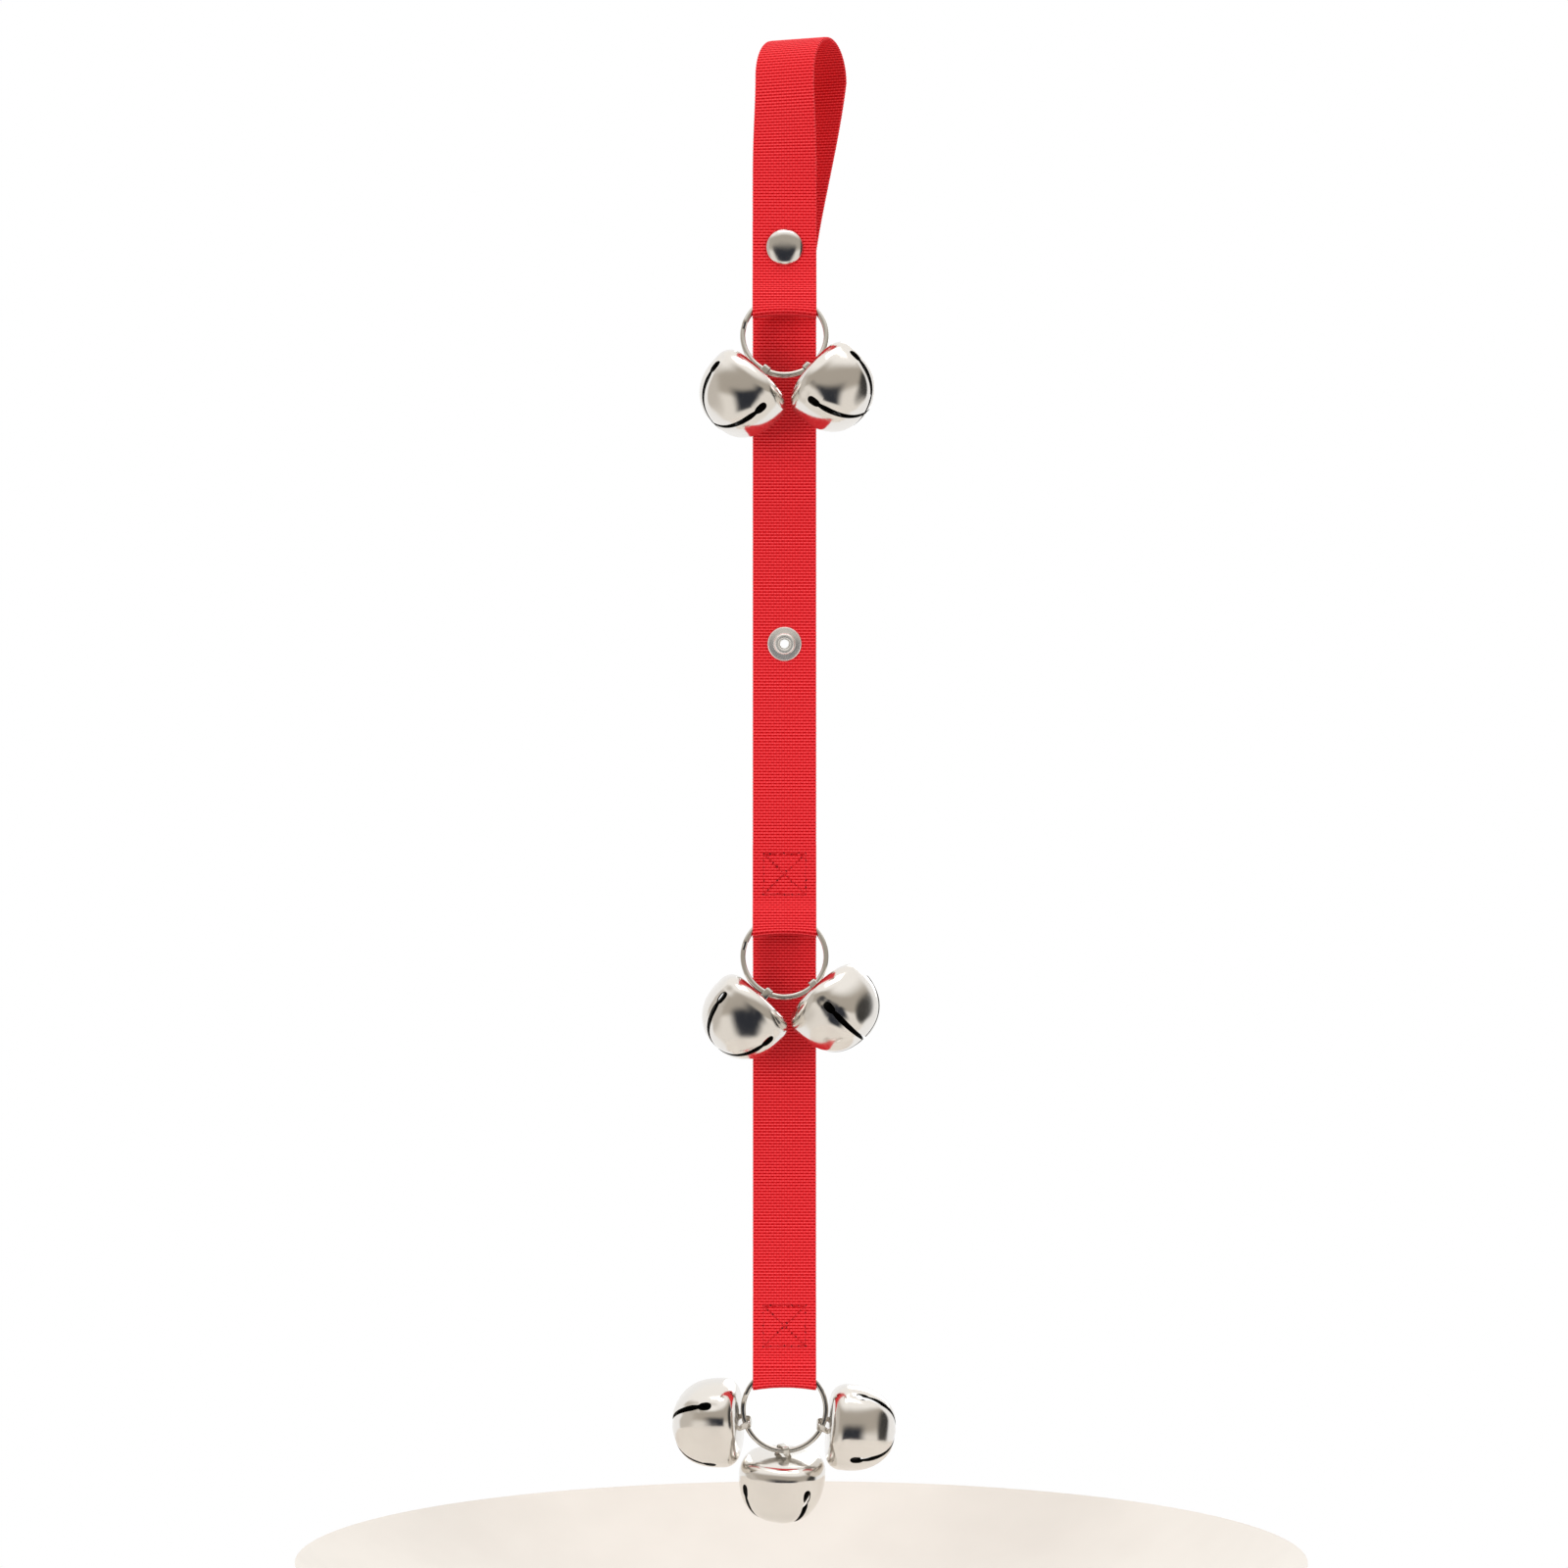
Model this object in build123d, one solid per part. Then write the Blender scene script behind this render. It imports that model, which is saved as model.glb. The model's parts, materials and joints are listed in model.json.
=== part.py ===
from build123d import *
import math
import os

# Sizes are in millimetres and angles in degrees.
# The origin is the middle of the door-knob neck that the loop hangs on.
# +Z is up, the bells face -Y, and +X is to the right seen from the front.

# Webbing
WEB_WIDTH = 25.0
WEB_THICK = 1.3
FOLD_GAP = 0.1
BEND_GAP = 0.15

# Loop that goes over the knob's neck
NECK_RADIUS = 15.0
LOOP_TURN = 25.0
BACK_JOIN_RISE = 7.5

# Heights along the strap, measured down from the neck
FLAP_BEND_DROP = 50.0
SNAP_DROP = 66.7
RETURN_RISE = 10.0
UPPER_BEND_DROP = 166.0
LOWER_STUD_DROP = 223.6
MIDDLE_SEAM_DROP = 315.0
LOWER_BEND_DROP = 402.0
LOWER_SEAM_DROP = 495.6
SEAM_HEIGHT = 17.0
SEAM_MARGIN = 1.5

# Slant below the middle seam, where the bells push the strap back
SET_BACK = 6.0
SLANT_START = 3.0
SLANT_RUN = 20.0
SLANT_BEND = 20.0

# Press snap; the dome's curve passes a place given by shares of the cap's radius and height
CAP_DIAMETER = 14.8
CAP_HEIGHT = 2.4
CAP_EDGE = 0.7
CAP_DOME_ACROSS = 0.72
CAP_DOME_RISE = 0.8
CAP_EDGE_SLOPE = 0.3
POST_DIAMETER = 3.4
SOCKET_DIAMETER = 12.6
SOCKET_FLOOR = 0.8
STUD_DIAMETER = 13.5
STUD_FLANGE = 0.5
NUB_DIAMETER = 8.4
NUB_HEIGHT = 2.4
NUB_WAIST = 0.35
NUB_BULGE = 1.45
EYELET_DIAMETER = 11.0
EYELET_FLANGE = 0.5
EYELET_BORE = 3.2
EYELET_WALL = 0.4
SNAP_GAP = 0.3
FIT_GAP = 0.1

# Split rings
RING_OUTER = 35.0
RING_WIRE = 2.0
COIL_THICK = 1.3
COIL_GAP = 0.06
COIL_CORNER = 0.3
JOG_HALF_ANGLE = 5.0
JOG_PLACE = 165.0
RING_CLEAR = 0.3

# Webbing pockets that hold the rings
SNAP_POCKET_NECK = 6.7
SEAM_POCKET_NECK = 2.2
POCKET_TAPER = 3.5
POCKET_CORNER = 0.55

# Bells
BELL_DIAMETER = 35.6
BELL_HEIGHT = 27.0
BELL_BELT = 8.0
BELL_SHOULDER = 6.0
BELL_WALL = 0.8
BOWL_FULLNESS = 0.62
SLOT_WIDTH = 1.8
KEYHOLE_WIDTH = 3.0
KEYHOLE_LENGTH = 5.4
KEYHOLE_START = 8.2
SLOT_TURNS = (45.0, 135.0)
BELL_GAP = 1.2
BELL_REST_GAP = 0.5

# Hanger strips
STRIP_WIDTH = 3.0
STRIP_THICK = 0.6
HANGER_RADIUS = 2.1
HANGER_DROP = 2.4
FOOT_LENGTH = 2.2
FOOT_BEND = 0.5
ARCH_FLAT = 0.05
CROWN_HOLE_GAP = 0.15

# Loose balls in the bells
BALL_DIAMETER = 8.0
BALL_GAP = 0.3

# A cutter is this many times as long as the wall that it goes through.
CUT_REACH = 4.0
LOFT_STEPS = 6
CURVE_STEPS = 400

half_web = WEB_THICK / 2
fold_pitch = WEB_THICK + FOLD_GAP
roll_radius = WEB_THICK + FOLD_GAP / 2
loop_radius = NECK_RADIUS + half_web
strap_x = -loop_radius * math.sin(math.radians(LOOP_TURN))
ring_radius = (RING_OUTER - RING_WIRE) / 2
ring_thick = 2 * COIL_THICK + COIL_GAP
bell_radius = BELL_DIAMETER / 2

# A closed snap is a stack from the middle of the strap to the middle of the flap.
cavity_depth = NUB_HEIGHT + SNAP_GAP
socket_height = cavity_depth + SOCKET_FLOOR
snap_stack = half_web + STUD_FLANGE + SNAP_GAP + socket_height + WEB_THICK + FOLD_GAP + half_web
strap_y = snap_stack / 2
flap_y = -snap_stack / 2

snap_z = -SNAP_DROP
back_join_z = snap_z + BACK_JOIN_RISE
lower_stud_z = -LOWER_STUD_DROP
upper_bend_z = -UPPER_BEND_DROP
lower_bend_z = -LOWER_BEND_DROP
flap_bend_z = -FLAP_BEND_DROP
middle_seam_z = -MIDDLE_SEAM_DROP
lower_seam_z = -LOWER_SEAM_DROP
lower_strap_y = strap_y + 2 * fold_pitch
hang_y = lower_strap_y + SET_BACK

# The wire leaves the pocket at the webbing's two edges, below the ring's top.
pocket_to_center = math.sqrt(ring_radius**2 - (WEB_WIDTH / 2) ** 2)
wire_rise = ring_radius - pocket_to_center
wire_low = pocket_to_center - math.sqrt((ring_radius - RING_WIRE / 2) ** 2 - (WEB_WIDTH / 2) ** 2)


def bowl_point(share, inset):
    # The bowl is one cubic curve from the belt (share 0) to the pole (share 1).
    radius = bell_radius - inset
    depth = BELL_HEIGHT - BELL_BELT - inset
    rest = 1 - share
    across = radius * (rest**3 + 3 * rest**2 * share + 3 * rest * share**2 * BOWL_FULLNESS)
    along = depth * (share**3 + 3 * rest * share**2 + 3 * rest**2 * share * BOWL_FULLNESS)
    return across, BELL_BELT + along


def bell_face(inset):
    # Half section: flat crown, round shoulder, short belt, bowl.
    radius = bell_radius - inset
    shoulder = BELL_SHOULDER - inset
    flat = bell_radius - BELL_SHOULDER
    pole = BELL_HEIGHT - inset
    crown_line = Line((0, inset), (flat, inset))
    shoulder_arc = CenterArc((flat, BELL_SHOULDER), shoulder, -90, 90)
    belt_line = Line((radius, BELL_SHOULDER), (radius, BELL_BELT))
    bowl = Bezier(
        (radius, BELL_BELT),
        (radius, BELL_BELT + BOWL_FULLNESS * (pole - BELL_BELT)),
        (BOWL_FULLNESS * radius, pole),
        (0, pole),
    )
    axis_line = Line((0, pole), (0, inset))
    return Plane.XZ * make_face([crown_line, shoulder_arc, belt_line, bowl, axis_line])


def keyhole_cutter():
    # One cutter passes through both sides of the bell and makes two slots.
    run = BELL_HEIGHT
    head_middle = KEYHOLE_START + KEYHOLE_LENGTH / 2
    across = Plane(origin=(0, 0, 0), x_dir=(1, 0, 0), z_dir=(0, -1, 0))
    head = Pos(0, head_middle) * Ellipse(KEYHOLE_WIDTH / 2, KEYHOLE_LENGTH / 2)
    slot = Pos(0, head_middle + run / 2) * Rectangle(SLOT_WIDTH, run)
    return extrude(across * (head + slot), BELL_DIAMETER, both=True)


def make_shell(spin):
    shell = revolve(bell_face(0), Axis.Z) - revolve(bell_face(BELL_WALL), Axis.Z)
    cutter = keyhole_cutter()
    for turn in SLOT_TURNS:
        shell -= Rot(0, 0, turn + spin) * cutter
    leg_middle = HANGER_RADIUS + STRIP_THICK / 2
    hole_inner = leg_middle - STRIP_THICK / 2 - CROWN_HOLE_GAP
    hole_outer = leg_middle + FOOT_BEND + CROWN_HOLE_GAP
    hole = Box(STRIP_WIDTH + 2 * CROWN_HOLE_GAP, hole_outer - hole_inner, CUT_REACH * BELL_WALL)
    for side in (-1, 1):
        shell -= Pos(0, side * (hole_inner + hole_outer) / 2, 0) * hole
    return shell


def make_hanger():
    # A flat strip bent over the ring's wire, with two feet under the crown.
    leg = HANGER_RADIUS + STRIP_THICK / 2
    foot = BELL_WALL + STRIP_THICK / 2
    top = -HANGER_DROP - leg
    path = FilletPolyline(
        (0, -leg - FOOT_LENGTH, foot),
        (0, -leg, foot),
        (0, -leg, top),
        (0, leg, top),
        (0, leg, foot),
        (0, leg + FOOT_LENGTH, foot),
        radius=[FOOT_BEND, leg - ARCH_FLAT / 2, leg - ARCH_FLAT / 2, FOOT_BEND],
    )
    start = Plane(origin=path @ 0, x_dir=(1, 0, 0), z_dir=path % 0)
    return sweep(start * Rectangle(STRIP_WIDTH, STRIP_THICK), path=path)


def make_ring():
    # Two flat coils of one wire; a short jog carries the wire from one to the other.
    offset = (COIL_THICK + COIL_GAP) / 2
    section = Plane.XZ * Pos(ring_radius, 0) * RectangleRounded(RING_WIRE, COIL_THICK, COIL_CORNER)
    sweep_angle = 360 - 2 * JOG_HALF_ANGLE
    coil = Rot(0, 0, JOG_HALF_ANGLE) * revolve(section, Axis.Z, sweep_angle)
    front = Pos(0, 0, offset) * coil
    back = Pos(0, 0, -offset) * coil
    jog_start = Rot(0, 0, -JOG_HALF_ANGLE) * Pos(0, 0, offset) * section
    jog_end = Rot(0, 0, JOG_HALF_ANGLE) * Pos(0, 0, -offset) * section
    jog = loft([jog_start.faces()[0], jog_end.faces()[0]], ruled=True)
    return Rot(0, 0, JOG_PLACE) * (front + jog + back)


def strip(x, y, top, bottom):
    return Pos(x, y, (top + bottom) / 2) * Box(WEB_WIDTH, WEB_THICK, top - bottom)


def roll(x, y, z, radius):
    # Rounded end of webbing on a bend line.
    return Pos(x, y, z) * Rot(0, 90, 0) * Cylinder(radius, WEB_WIDTH)


def stud_hole(y, z):
    length = CUT_REACH * WEB_THICK
    radius = EYELET_BORE / 2 + EYELET_WALL + FIT_GAP
    return Pos(strap_x, y, z) * Rot(90, 0, 0) * Cylinder(radius, length)


def branch(start, start_turn, end):
    # The webbing turns from the neck's direction to the strap's as it comes down.
    sections = []
    for step in range(LOFT_STEPS + 1):
        share = step / LOFT_STEPS
        ease = share * share * (3 - 2 * share)
        x = start[0] + (end[0] - start[0]) * ease
        y = start[1] + (end[1] - start[1]) * ease
        z = start[2] + (end[2] - start[2]) * share
        turn = start_turn * (1 - ease)
        sections.append(Pos(x, y, z) * Rot(0, 0, turn) * Rectangle(WEB_WIDTH, WEB_THICK))
    return loft(sections)


def make_knob_loop():
    turn = math.radians(LOOP_TURN)
    across = (math.cos(turn), -math.sin(turn), 0)
    front = (-loop_radius * math.sin(turn), -loop_radius * math.cos(turn), 0)
    back = (-front[0], -front[1], 0)
    section = Pos(*front) * Rot(0, 0, -LOOP_TURN) * Rectangle(WEB_WIDTH, WEB_THICK)
    arch = revolve(section, Axis((0, 0, 0), (-across[0], -across[1], 0)), 180)
    front_end = flap_bend_z + half_web + BEND_GAP
    front_leg = branch(front, -LOOP_TURN, (strap_x, flap_y, front_end))
    back_leg = branch(back, -LOOP_TURN, (strap_x, strap_y, back_join_z))
    straight = strip(strap_x, strap_y, back_join_z, upper_bend_z + half_web + BEND_GAP)
    return arch + front_leg + back_leg + straight - stud_hole(strap_y, snap_z)


def flap_end():
    return snap_pocket_z() + roll_radius + BEND_GAP


def snap_pocket_z():
    return snap_z - CAP_DIAMETER / 2 - SEAM_MARGIN


def post_hole():
    length = 2 * CUT_REACH * WEB_THICK
    radius = POST_DIAMETER / 2 + FIT_GAP
    return Pos(strap_x, flap_y + fold_pitch / 2, snap_z) * Rot(90, 0, 0) * Cylinder(radius, length)


def make_snap_flap():
    flap = strip(strap_x, flap_y, flap_bend_z, flap_end())
    return flap + roll(strap_x, flap_y, flap_bend_z, half_web) - post_hole()


def make_snap_return():
    return strip(strap_x, flap_y + fold_pitch, snap_z + RETURN_RISE, flap_end()) - post_hole()


def seam_pocket_z(seam_z):
    return seam_z - SEAM_HEIGHT / 2 - SEAM_MARGIN


def seam_end(seam_z):
    return seam_pocket_z(seam_z) + roll_radius + BEND_GAP


def seam_top(seam_z):
    return seam_z + SEAM_HEIGHT / 2 + 2 * SEAM_MARGIN


def make_middle_strap():
    body = strip(strap_x, strap_y, upper_bend_z, seam_end(middle_seam_z))
    rolled = roll(strap_x, strap_y, upper_bend_z, half_web)
    return body + rolled - stud_hole(strap_y, lower_stud_z)


def make_middle_return():
    y = strap_y + fold_pitch
    return strip(strap_x, y, seam_top(middle_seam_z), seam_end(middle_seam_z))


def make_lower_head():
    # Straight behind the seam, then a slant to where the strap hangs behind the bells.
    bottom = lower_bend_z + half_web + BEND_GAP
    slant_top = seam_pocket_z(middle_seam_z) - SLANT_START
    path = FilletPolyline(
        (strap_x, lower_strap_y, seam_top(middle_seam_z)),
        (strap_x, lower_strap_y, slant_top),
        (strap_x, hang_y, slant_top - SLANT_RUN),
        (strap_x, hang_y, bottom),
        radius=SLANT_BEND,
    )
    start = Plane(origin=path @ 0, x_dir=(1, 0, 0), z_dir=path % 0)
    return sweep(start * Rectangle(WEB_WIDTH, WEB_THICK), path=path)


def make_lower_strap():
    body = strip(strap_x, hang_y, lower_bend_z, seam_end(lower_seam_z))
    return body + roll(strap_x, hang_y, lower_bend_z, half_web)


def make_lower_return():
    y = hang_y + fold_pitch
    return strip(strap_x, y, seam_top(lower_seam_z), seam_end(lower_seam_z))


def pocket_length(neck):
    # From the bend line to where the wire leaves the pocket: neck, taper, wire.
    return neck + POCKET_TAPER + RING_CLEAR + RING_WIRE / 2 + wire_rise


POCKETS = {
    "1": {
        "hinge": (flap_y + fold_pitch / 2, snap_pocket_z()),
        "length": pocket_length(SNAP_POCKET_NECK),
        "wall": strap_y - half_web,
        "turn": 3.0,
        "bells": ("left", "right"),
    },
    "2": {
        "hinge": (strap_y + fold_pitch / 2, seam_pocket_z(middle_seam_z)),
        "length": pocket_length(SEAM_POCKET_NECK),
        "wall": hang_y - half_web,
        "turn": 4.5,
        "bells": ("left", "right"),
    },
    "3": {
        "hinge": (hang_y + fold_pitch / 2, seam_pocket_z(lower_seam_z)),
        "length": pocket_length(SEAM_POCKET_NECK),
        "wall": None,
        "turn": -2.0,
        "bells": ("left", "bottom", "right"),
    },
}

# Turn of a side bell's axis outwards from the ring's radius
BELL_TWIST = {
    "1_left": 15.975,
    "1_right": 13.956,
    "2_left": 18.989,
    "2_right": -3.606,
    "3_left": 16.03,
    "3_right": 16.03,
}
# Turn of each bell's petals about the bell's own axis
PETAL_TURN = {
    "1_left": -1.0,
    "1_right": 2.0,
    "2_left": -8.0,
    "2_right": -30.0,
    "3_left": -16.0,
    "3_bottom": 10.0,
    "3_right": -7.0,
}
# Tip of a bell's mouth to the front, about the wire that it hangs on
BELL_TIP = {
    "1_left": -8.0,
    "1_right": 0.0,
    "2_left": -8.0,
    "2_right": 0.0,
    "3_left": -8.0,
    "3_bottom": -13.0,
    "3_right": -4.0,
}


def crown_corner(lean):
    # Middle of the shoulder's round on the inner side, from where the wire holds the bell
    turn = math.radians(lean)
    along = HANGER_DROP + BELL_SHOULDER
    across = bell_radius - BELL_SHOULDER
    x = along * math.sin(turn) - across * math.cos(turn)
    y = -along * math.cos(turn) - across * math.sin(turn)
    return x, y


def hold_spread(name, place):
    # Angle along the ring from its lowest place at which a bell clears the one beside it
    if place == "bottom":
        return 0.0
    x, y = crown_corner(BELL_TWIST[f"{name}_{place}"])
    reach = math.hypot(x, y - ring_radius)
    start = math.atan2(x, ring_radius - y)
    if "bottom" not in POCKETS[name]["bells"]:
        return math.degrees(math.asin((BELL_GAP / 2 + BELL_SHOULDER) / reach) - start)
    x, y = crown_corner(0)
    span = math.hypot(x, y - ring_radius)
    apart = 2 * BELL_SHOULDER + BELL_GAP
    turn = math.acos((reach**2 + span**2 - apart**2) / (2 * reach * span))
    return math.degrees(math.atan2(-x, ring_radius - y) + turn - start)


def hold_angle(name, place):
    side = {"left": -1, "bottom": 0, "right": 1}[place]
    return -90 + side * hold_spread(name, place) + POCKETS[name]["turn"]


def bell_lean(name, place):
    # Lean of the bell's axis from straight down along the ring, to the right
    side = {"left": -1, "bottom": 0, "right": 1}[place]
    return hold_angle(name, place) + 90 + side * BELL_TWIST.get(f"{name}_{place}", 0.0)


def rest_lean(name, place):
    # The pocket leans forward until the bell's belt clears the strap behind.
    pocket = POCKETS[name]
    tip = math.radians(BELL_TIP[f"{name}_{place}"])
    lean = math.radians(bell_lean(name, place))
    reach = HANGER_DROP + BELL_BELT
    low = ring_radius * math.cos(math.radians(hold_spread(name, place)))
    along = pocket["length"] + pocket_to_center + low + reach * math.cos(lean) * math.cos(tip)
    back = -reach * math.sin(tip)
    need = pocket["hinge"][0] - (pocket["wall"] - bell_radius - BELL_REST_GAP)
    return math.degrees(math.asin(need / math.hypot(along, back)) + math.atan2(back, along))


def pocket_lean(name):
    if POCKETS[name]["wall"] is None:
        return 0.0
    return max(rest_lean(name, place) for place in POCKETS[name]["bells"])


def pocket_plane(name):
    # X is right, Y points up along the pocket, Z to the front; origin on the bend line.
    lean = math.radians(pocket_lean(name))
    y, z = POCKETS[name]["hinge"]
    front = (0, -math.cos(lean), math.sin(lean))
    return Plane(origin=(strap_x, y, z), x_dir=(1, 0, 0), z_dir=front)


def make_pocket(name):
    # The webbing goes down in front of the wire, round under it and up behind it.
    length = POCKETS[name]["length"]
    near = fold_pitch / 2
    wide = ring_thick / 2 + RING_CLEAR + half_web
    bottom = -length - wire_low - RING_CLEAR - half_web
    wide_top = -length + wire_rise + RING_WIRE / 2 + RING_CLEAR
    near_end = wide_top + POCKET_TAPER
    points = [
        (0, 0, near),
        (0, near_end, near),
        (0, wide_top, wide),
        (0, bottom, wide),
        (0, bottom, -wide),
        (0, wide_top, -wide),
        (0, near_end, -near),
        (0, 0, -near),
    ]
    soft = WEB_THICK
    tight = half_web + POCKET_CORNER
    path = FilletPolyline(*points, radius=[soft, soft, tight, tight, soft, soft])
    start = Plane(origin=path @ 0, x_dir=(1, 0, 0), z_dir=path % 0)
    folded = sweep(start * Rectangle(WEB_WIDTH, WEB_THICK), path=path)
    head = Rot(0, 90, 0) * Cylinder(roll_radius, WEB_WIDTH)
    return pocket_plane(name).location * (folded + head)


def ring_plane(name):
    pocket = pocket_plane(name)
    center = pocket.from_local_coords((0, -POCKETS[name]["length"] - pocket_to_center, 0))
    return Plane(origin=center, x_dir=pocket.x_dir, z_dir=pocket.z_dir)


def wire_direction(name, place):
    ring = ring_plane(name)
    angle = math.radians(hold_angle(name, place))
    along = Vector(-math.sin(angle), math.cos(angle), 0)
    return ring.from_local_coords(along) - ring.origin


def bell_plane(name, place):
    # Z runs from the crown to the mouth and X across it, near the ring's wire.
    key = f"{name}_{place}"
    ring = ring_plane(name)
    angle = math.radians(hold_angle(name, place))
    lean = math.radians(bell_lean(name, place))
    tip = math.radians(BELL_TIP[key])
    hold = Vector(ring_radius * math.cos(angle), ring_radius * math.sin(angle), 0)
    out = Vector(math.sin(lean) * math.cos(tip), -math.cos(lean) * math.cos(tip), math.sin(tip))
    across = Vector(math.cos(lean), math.sin(lean), 0)
    crown = ring.from_local_coords(hold + out * HANGER_DROP)
    axis = ring.from_local_coords(out) - ring.origin
    side = ring.from_local_coords(across) - ring.origin
    return Plane(origin=crown, x_dir=side, z_dir=axis)


def ball_center(name, place):
    # The ball lies on the lowest place of the bell's inner face.
    bell = bell_plane(name, place)
    down = Vector(0, 0, -1)
    along = down.dot(bell.z_dir)
    side = down - bell.z_dir * along
    across = side.length
    lowest = max(
        (bowl_point(step / CURVE_STEPS, BELL_WALL) for step in range(CURVE_STEPS + 1)),
        key=lambda spot: spot[0] * across + spot[1] * along,
    )
    touch = bell.origin + side.normalized() * lowest[0] + bell.z_dir * lowest[1]
    return touch - down * (BALL_DIAMETER / 2 + BALL_GAP)


def turned(profile, x, y, z):
    # A round snap part whose axis points to the front.
    body = revolve(make_face(Polyline(*profile, close=True)), Axis.Z)
    return Pos(x, y, z) * Rot(90, 0, 0) * body


def make_cap():
    face = 0.0
    rim = CAP_DIAMETER / 2
    depth = 2 * WEB_THICK + FOLD_GAP + SOCKET_FLOOR
    dome = Spline(
        (rim, 0, CAP_EDGE),
        (CAP_DOME_ACROSS * rim, 0, CAP_DOME_RISE * CAP_HEIGHT),
        (0, 0, CAP_HEIGHT),
        tangents=[(-CAP_EDGE_SLOPE, 0, 1), (-1, 0, 0)],
    )
    outline = [
        dome,
        Line((0, 0, CAP_HEIGHT), (0, 0, -depth)),
        Line((0, 0, -depth), (POST_DIAMETER / 2, 0, -depth)),
        Line((POST_DIAMETER / 2, 0, -depth), (POST_DIAMETER / 2, 0, face)),
        Line((POST_DIAMETER / 2, 0, face), (rim, 0, face)),
        Line((rim, 0, face), (rim, 0, CAP_EDGE)),
    ]
    body = revolve(make_face(outline), Axis.Z)
    return Pos(strap_x, flap_y - half_web, snap_z) * Rot(90, 0, 0) * body


def make_socket():
    outer = SOCKET_DIAMETER / 2
    cavity = NUB_DIAMETER / 2 + SNAP_GAP
    hole = POST_DIAMETER / 2 + FIT_GAP
    profile = [
        (hole, 0, 0),
        (outer, 0, 0),
        (outer, 0, -SOCKET_FLOOR),
        ((outer + cavity) / 2 + SNAP_GAP, 0, -socket_height),
        (cavity, 0, -socket_height),
        (cavity, 0, -SOCKET_FLOOR),
        (hole, 0, -SOCKET_FLOOR),
    ]
    return turned(profile, strap_x, flap_y + fold_pitch + half_web, snap_z)


def make_stud(y, z):
    bore = EYELET_BORE / 2 + EYELET_WALL + FIT_GAP
    nub = NUB_DIAMETER / 2
    top = STUD_FLANGE + NUB_HEIGHT
    profile = [
        (bore, 0, 0),
        (STUD_DIAMETER / 2, 0, 0),
        (STUD_DIAMETER / 2, 0, STUD_FLANGE),
        (nub - NUB_WAIST, 0, STUD_FLANGE),
        (nub, 0, STUD_FLANGE + NUB_BULGE),
        (nub - NUB_WAIST, 0, top),
        (bore, 0, top),
    ]
    return turned(profile, strap_x, y - half_web, z)


def make_eyelet(y, z):
    bore = EYELET_BORE / 2
    barrel = bore + EYELET_WALL
    top = WEB_THICK + STUD_FLANGE + NUB_HEIGHT
    profile = [
        (bore, 0, -EYELET_FLANGE),
        (EYELET_DIAMETER / 2, 0, -EYELET_FLANGE),
        (EYELET_DIAMETER / 2, 0, 0),
        (barrel, 0, 0),
        (barrel, 0, top),
        (bore, 0, top),
    ]
    return turned(profile, strap_x, y + half_web, z)


def make_parts():
    parts = {
        "knob_loop": make_knob_loop(),
        "upper_stud": make_stud(strap_y, snap_z),
        "upper_stud_eyelet": make_eyelet(strap_y, snap_z),
        "snap_flap": make_snap_flap(),
        "snap_flap_return": make_snap_return(),
        "snap_cap": make_cap(),
        "snap_socket": make_socket(),
        "middle_strap": make_middle_strap(),
        "middle_strap_return": make_middle_return(),
        "lower_stud": make_stud(strap_y, lower_stud_z),
        "lower_stud_eyelet": make_eyelet(strap_y, lower_stud_z),
        "lower_strap_head": make_lower_head(),
        "lower_strap": make_lower_strap(),
        "lower_strap_return": make_lower_return(),
    }
    ring = make_ring()
    hanger = make_hanger()
    ball = Sphere(BALL_DIAMETER / 2)
    for name, pocket in POCKETS.items():
        parts[f"ring_pocket_{name}"] = make_pocket(name)
        parts[f"ring_{name}"] = ring_plane(name).location * ring
        for place in pocket["bells"]:
            key = f"{name}_{place}"
            spot = bell_plane(name, place).location
            parts[f"bell_{key}_shell"] = spot * make_shell(PETAL_TURN[key])
            parts[f"bell_{key}_hanger"] = spot * hanger
            parts[f"bell_{key}_ball"] = Pos(*ball_center(name, place)) * ball
    return parts


def main():
    os.makedirs("parts", exist_ok=True)
    for name, shape in make_parts().items():
        export_step(shape, f"parts/{name}.step")
        print(name, round(shape.volume, 1))


if __name__ == "__main__":
    main()
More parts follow.
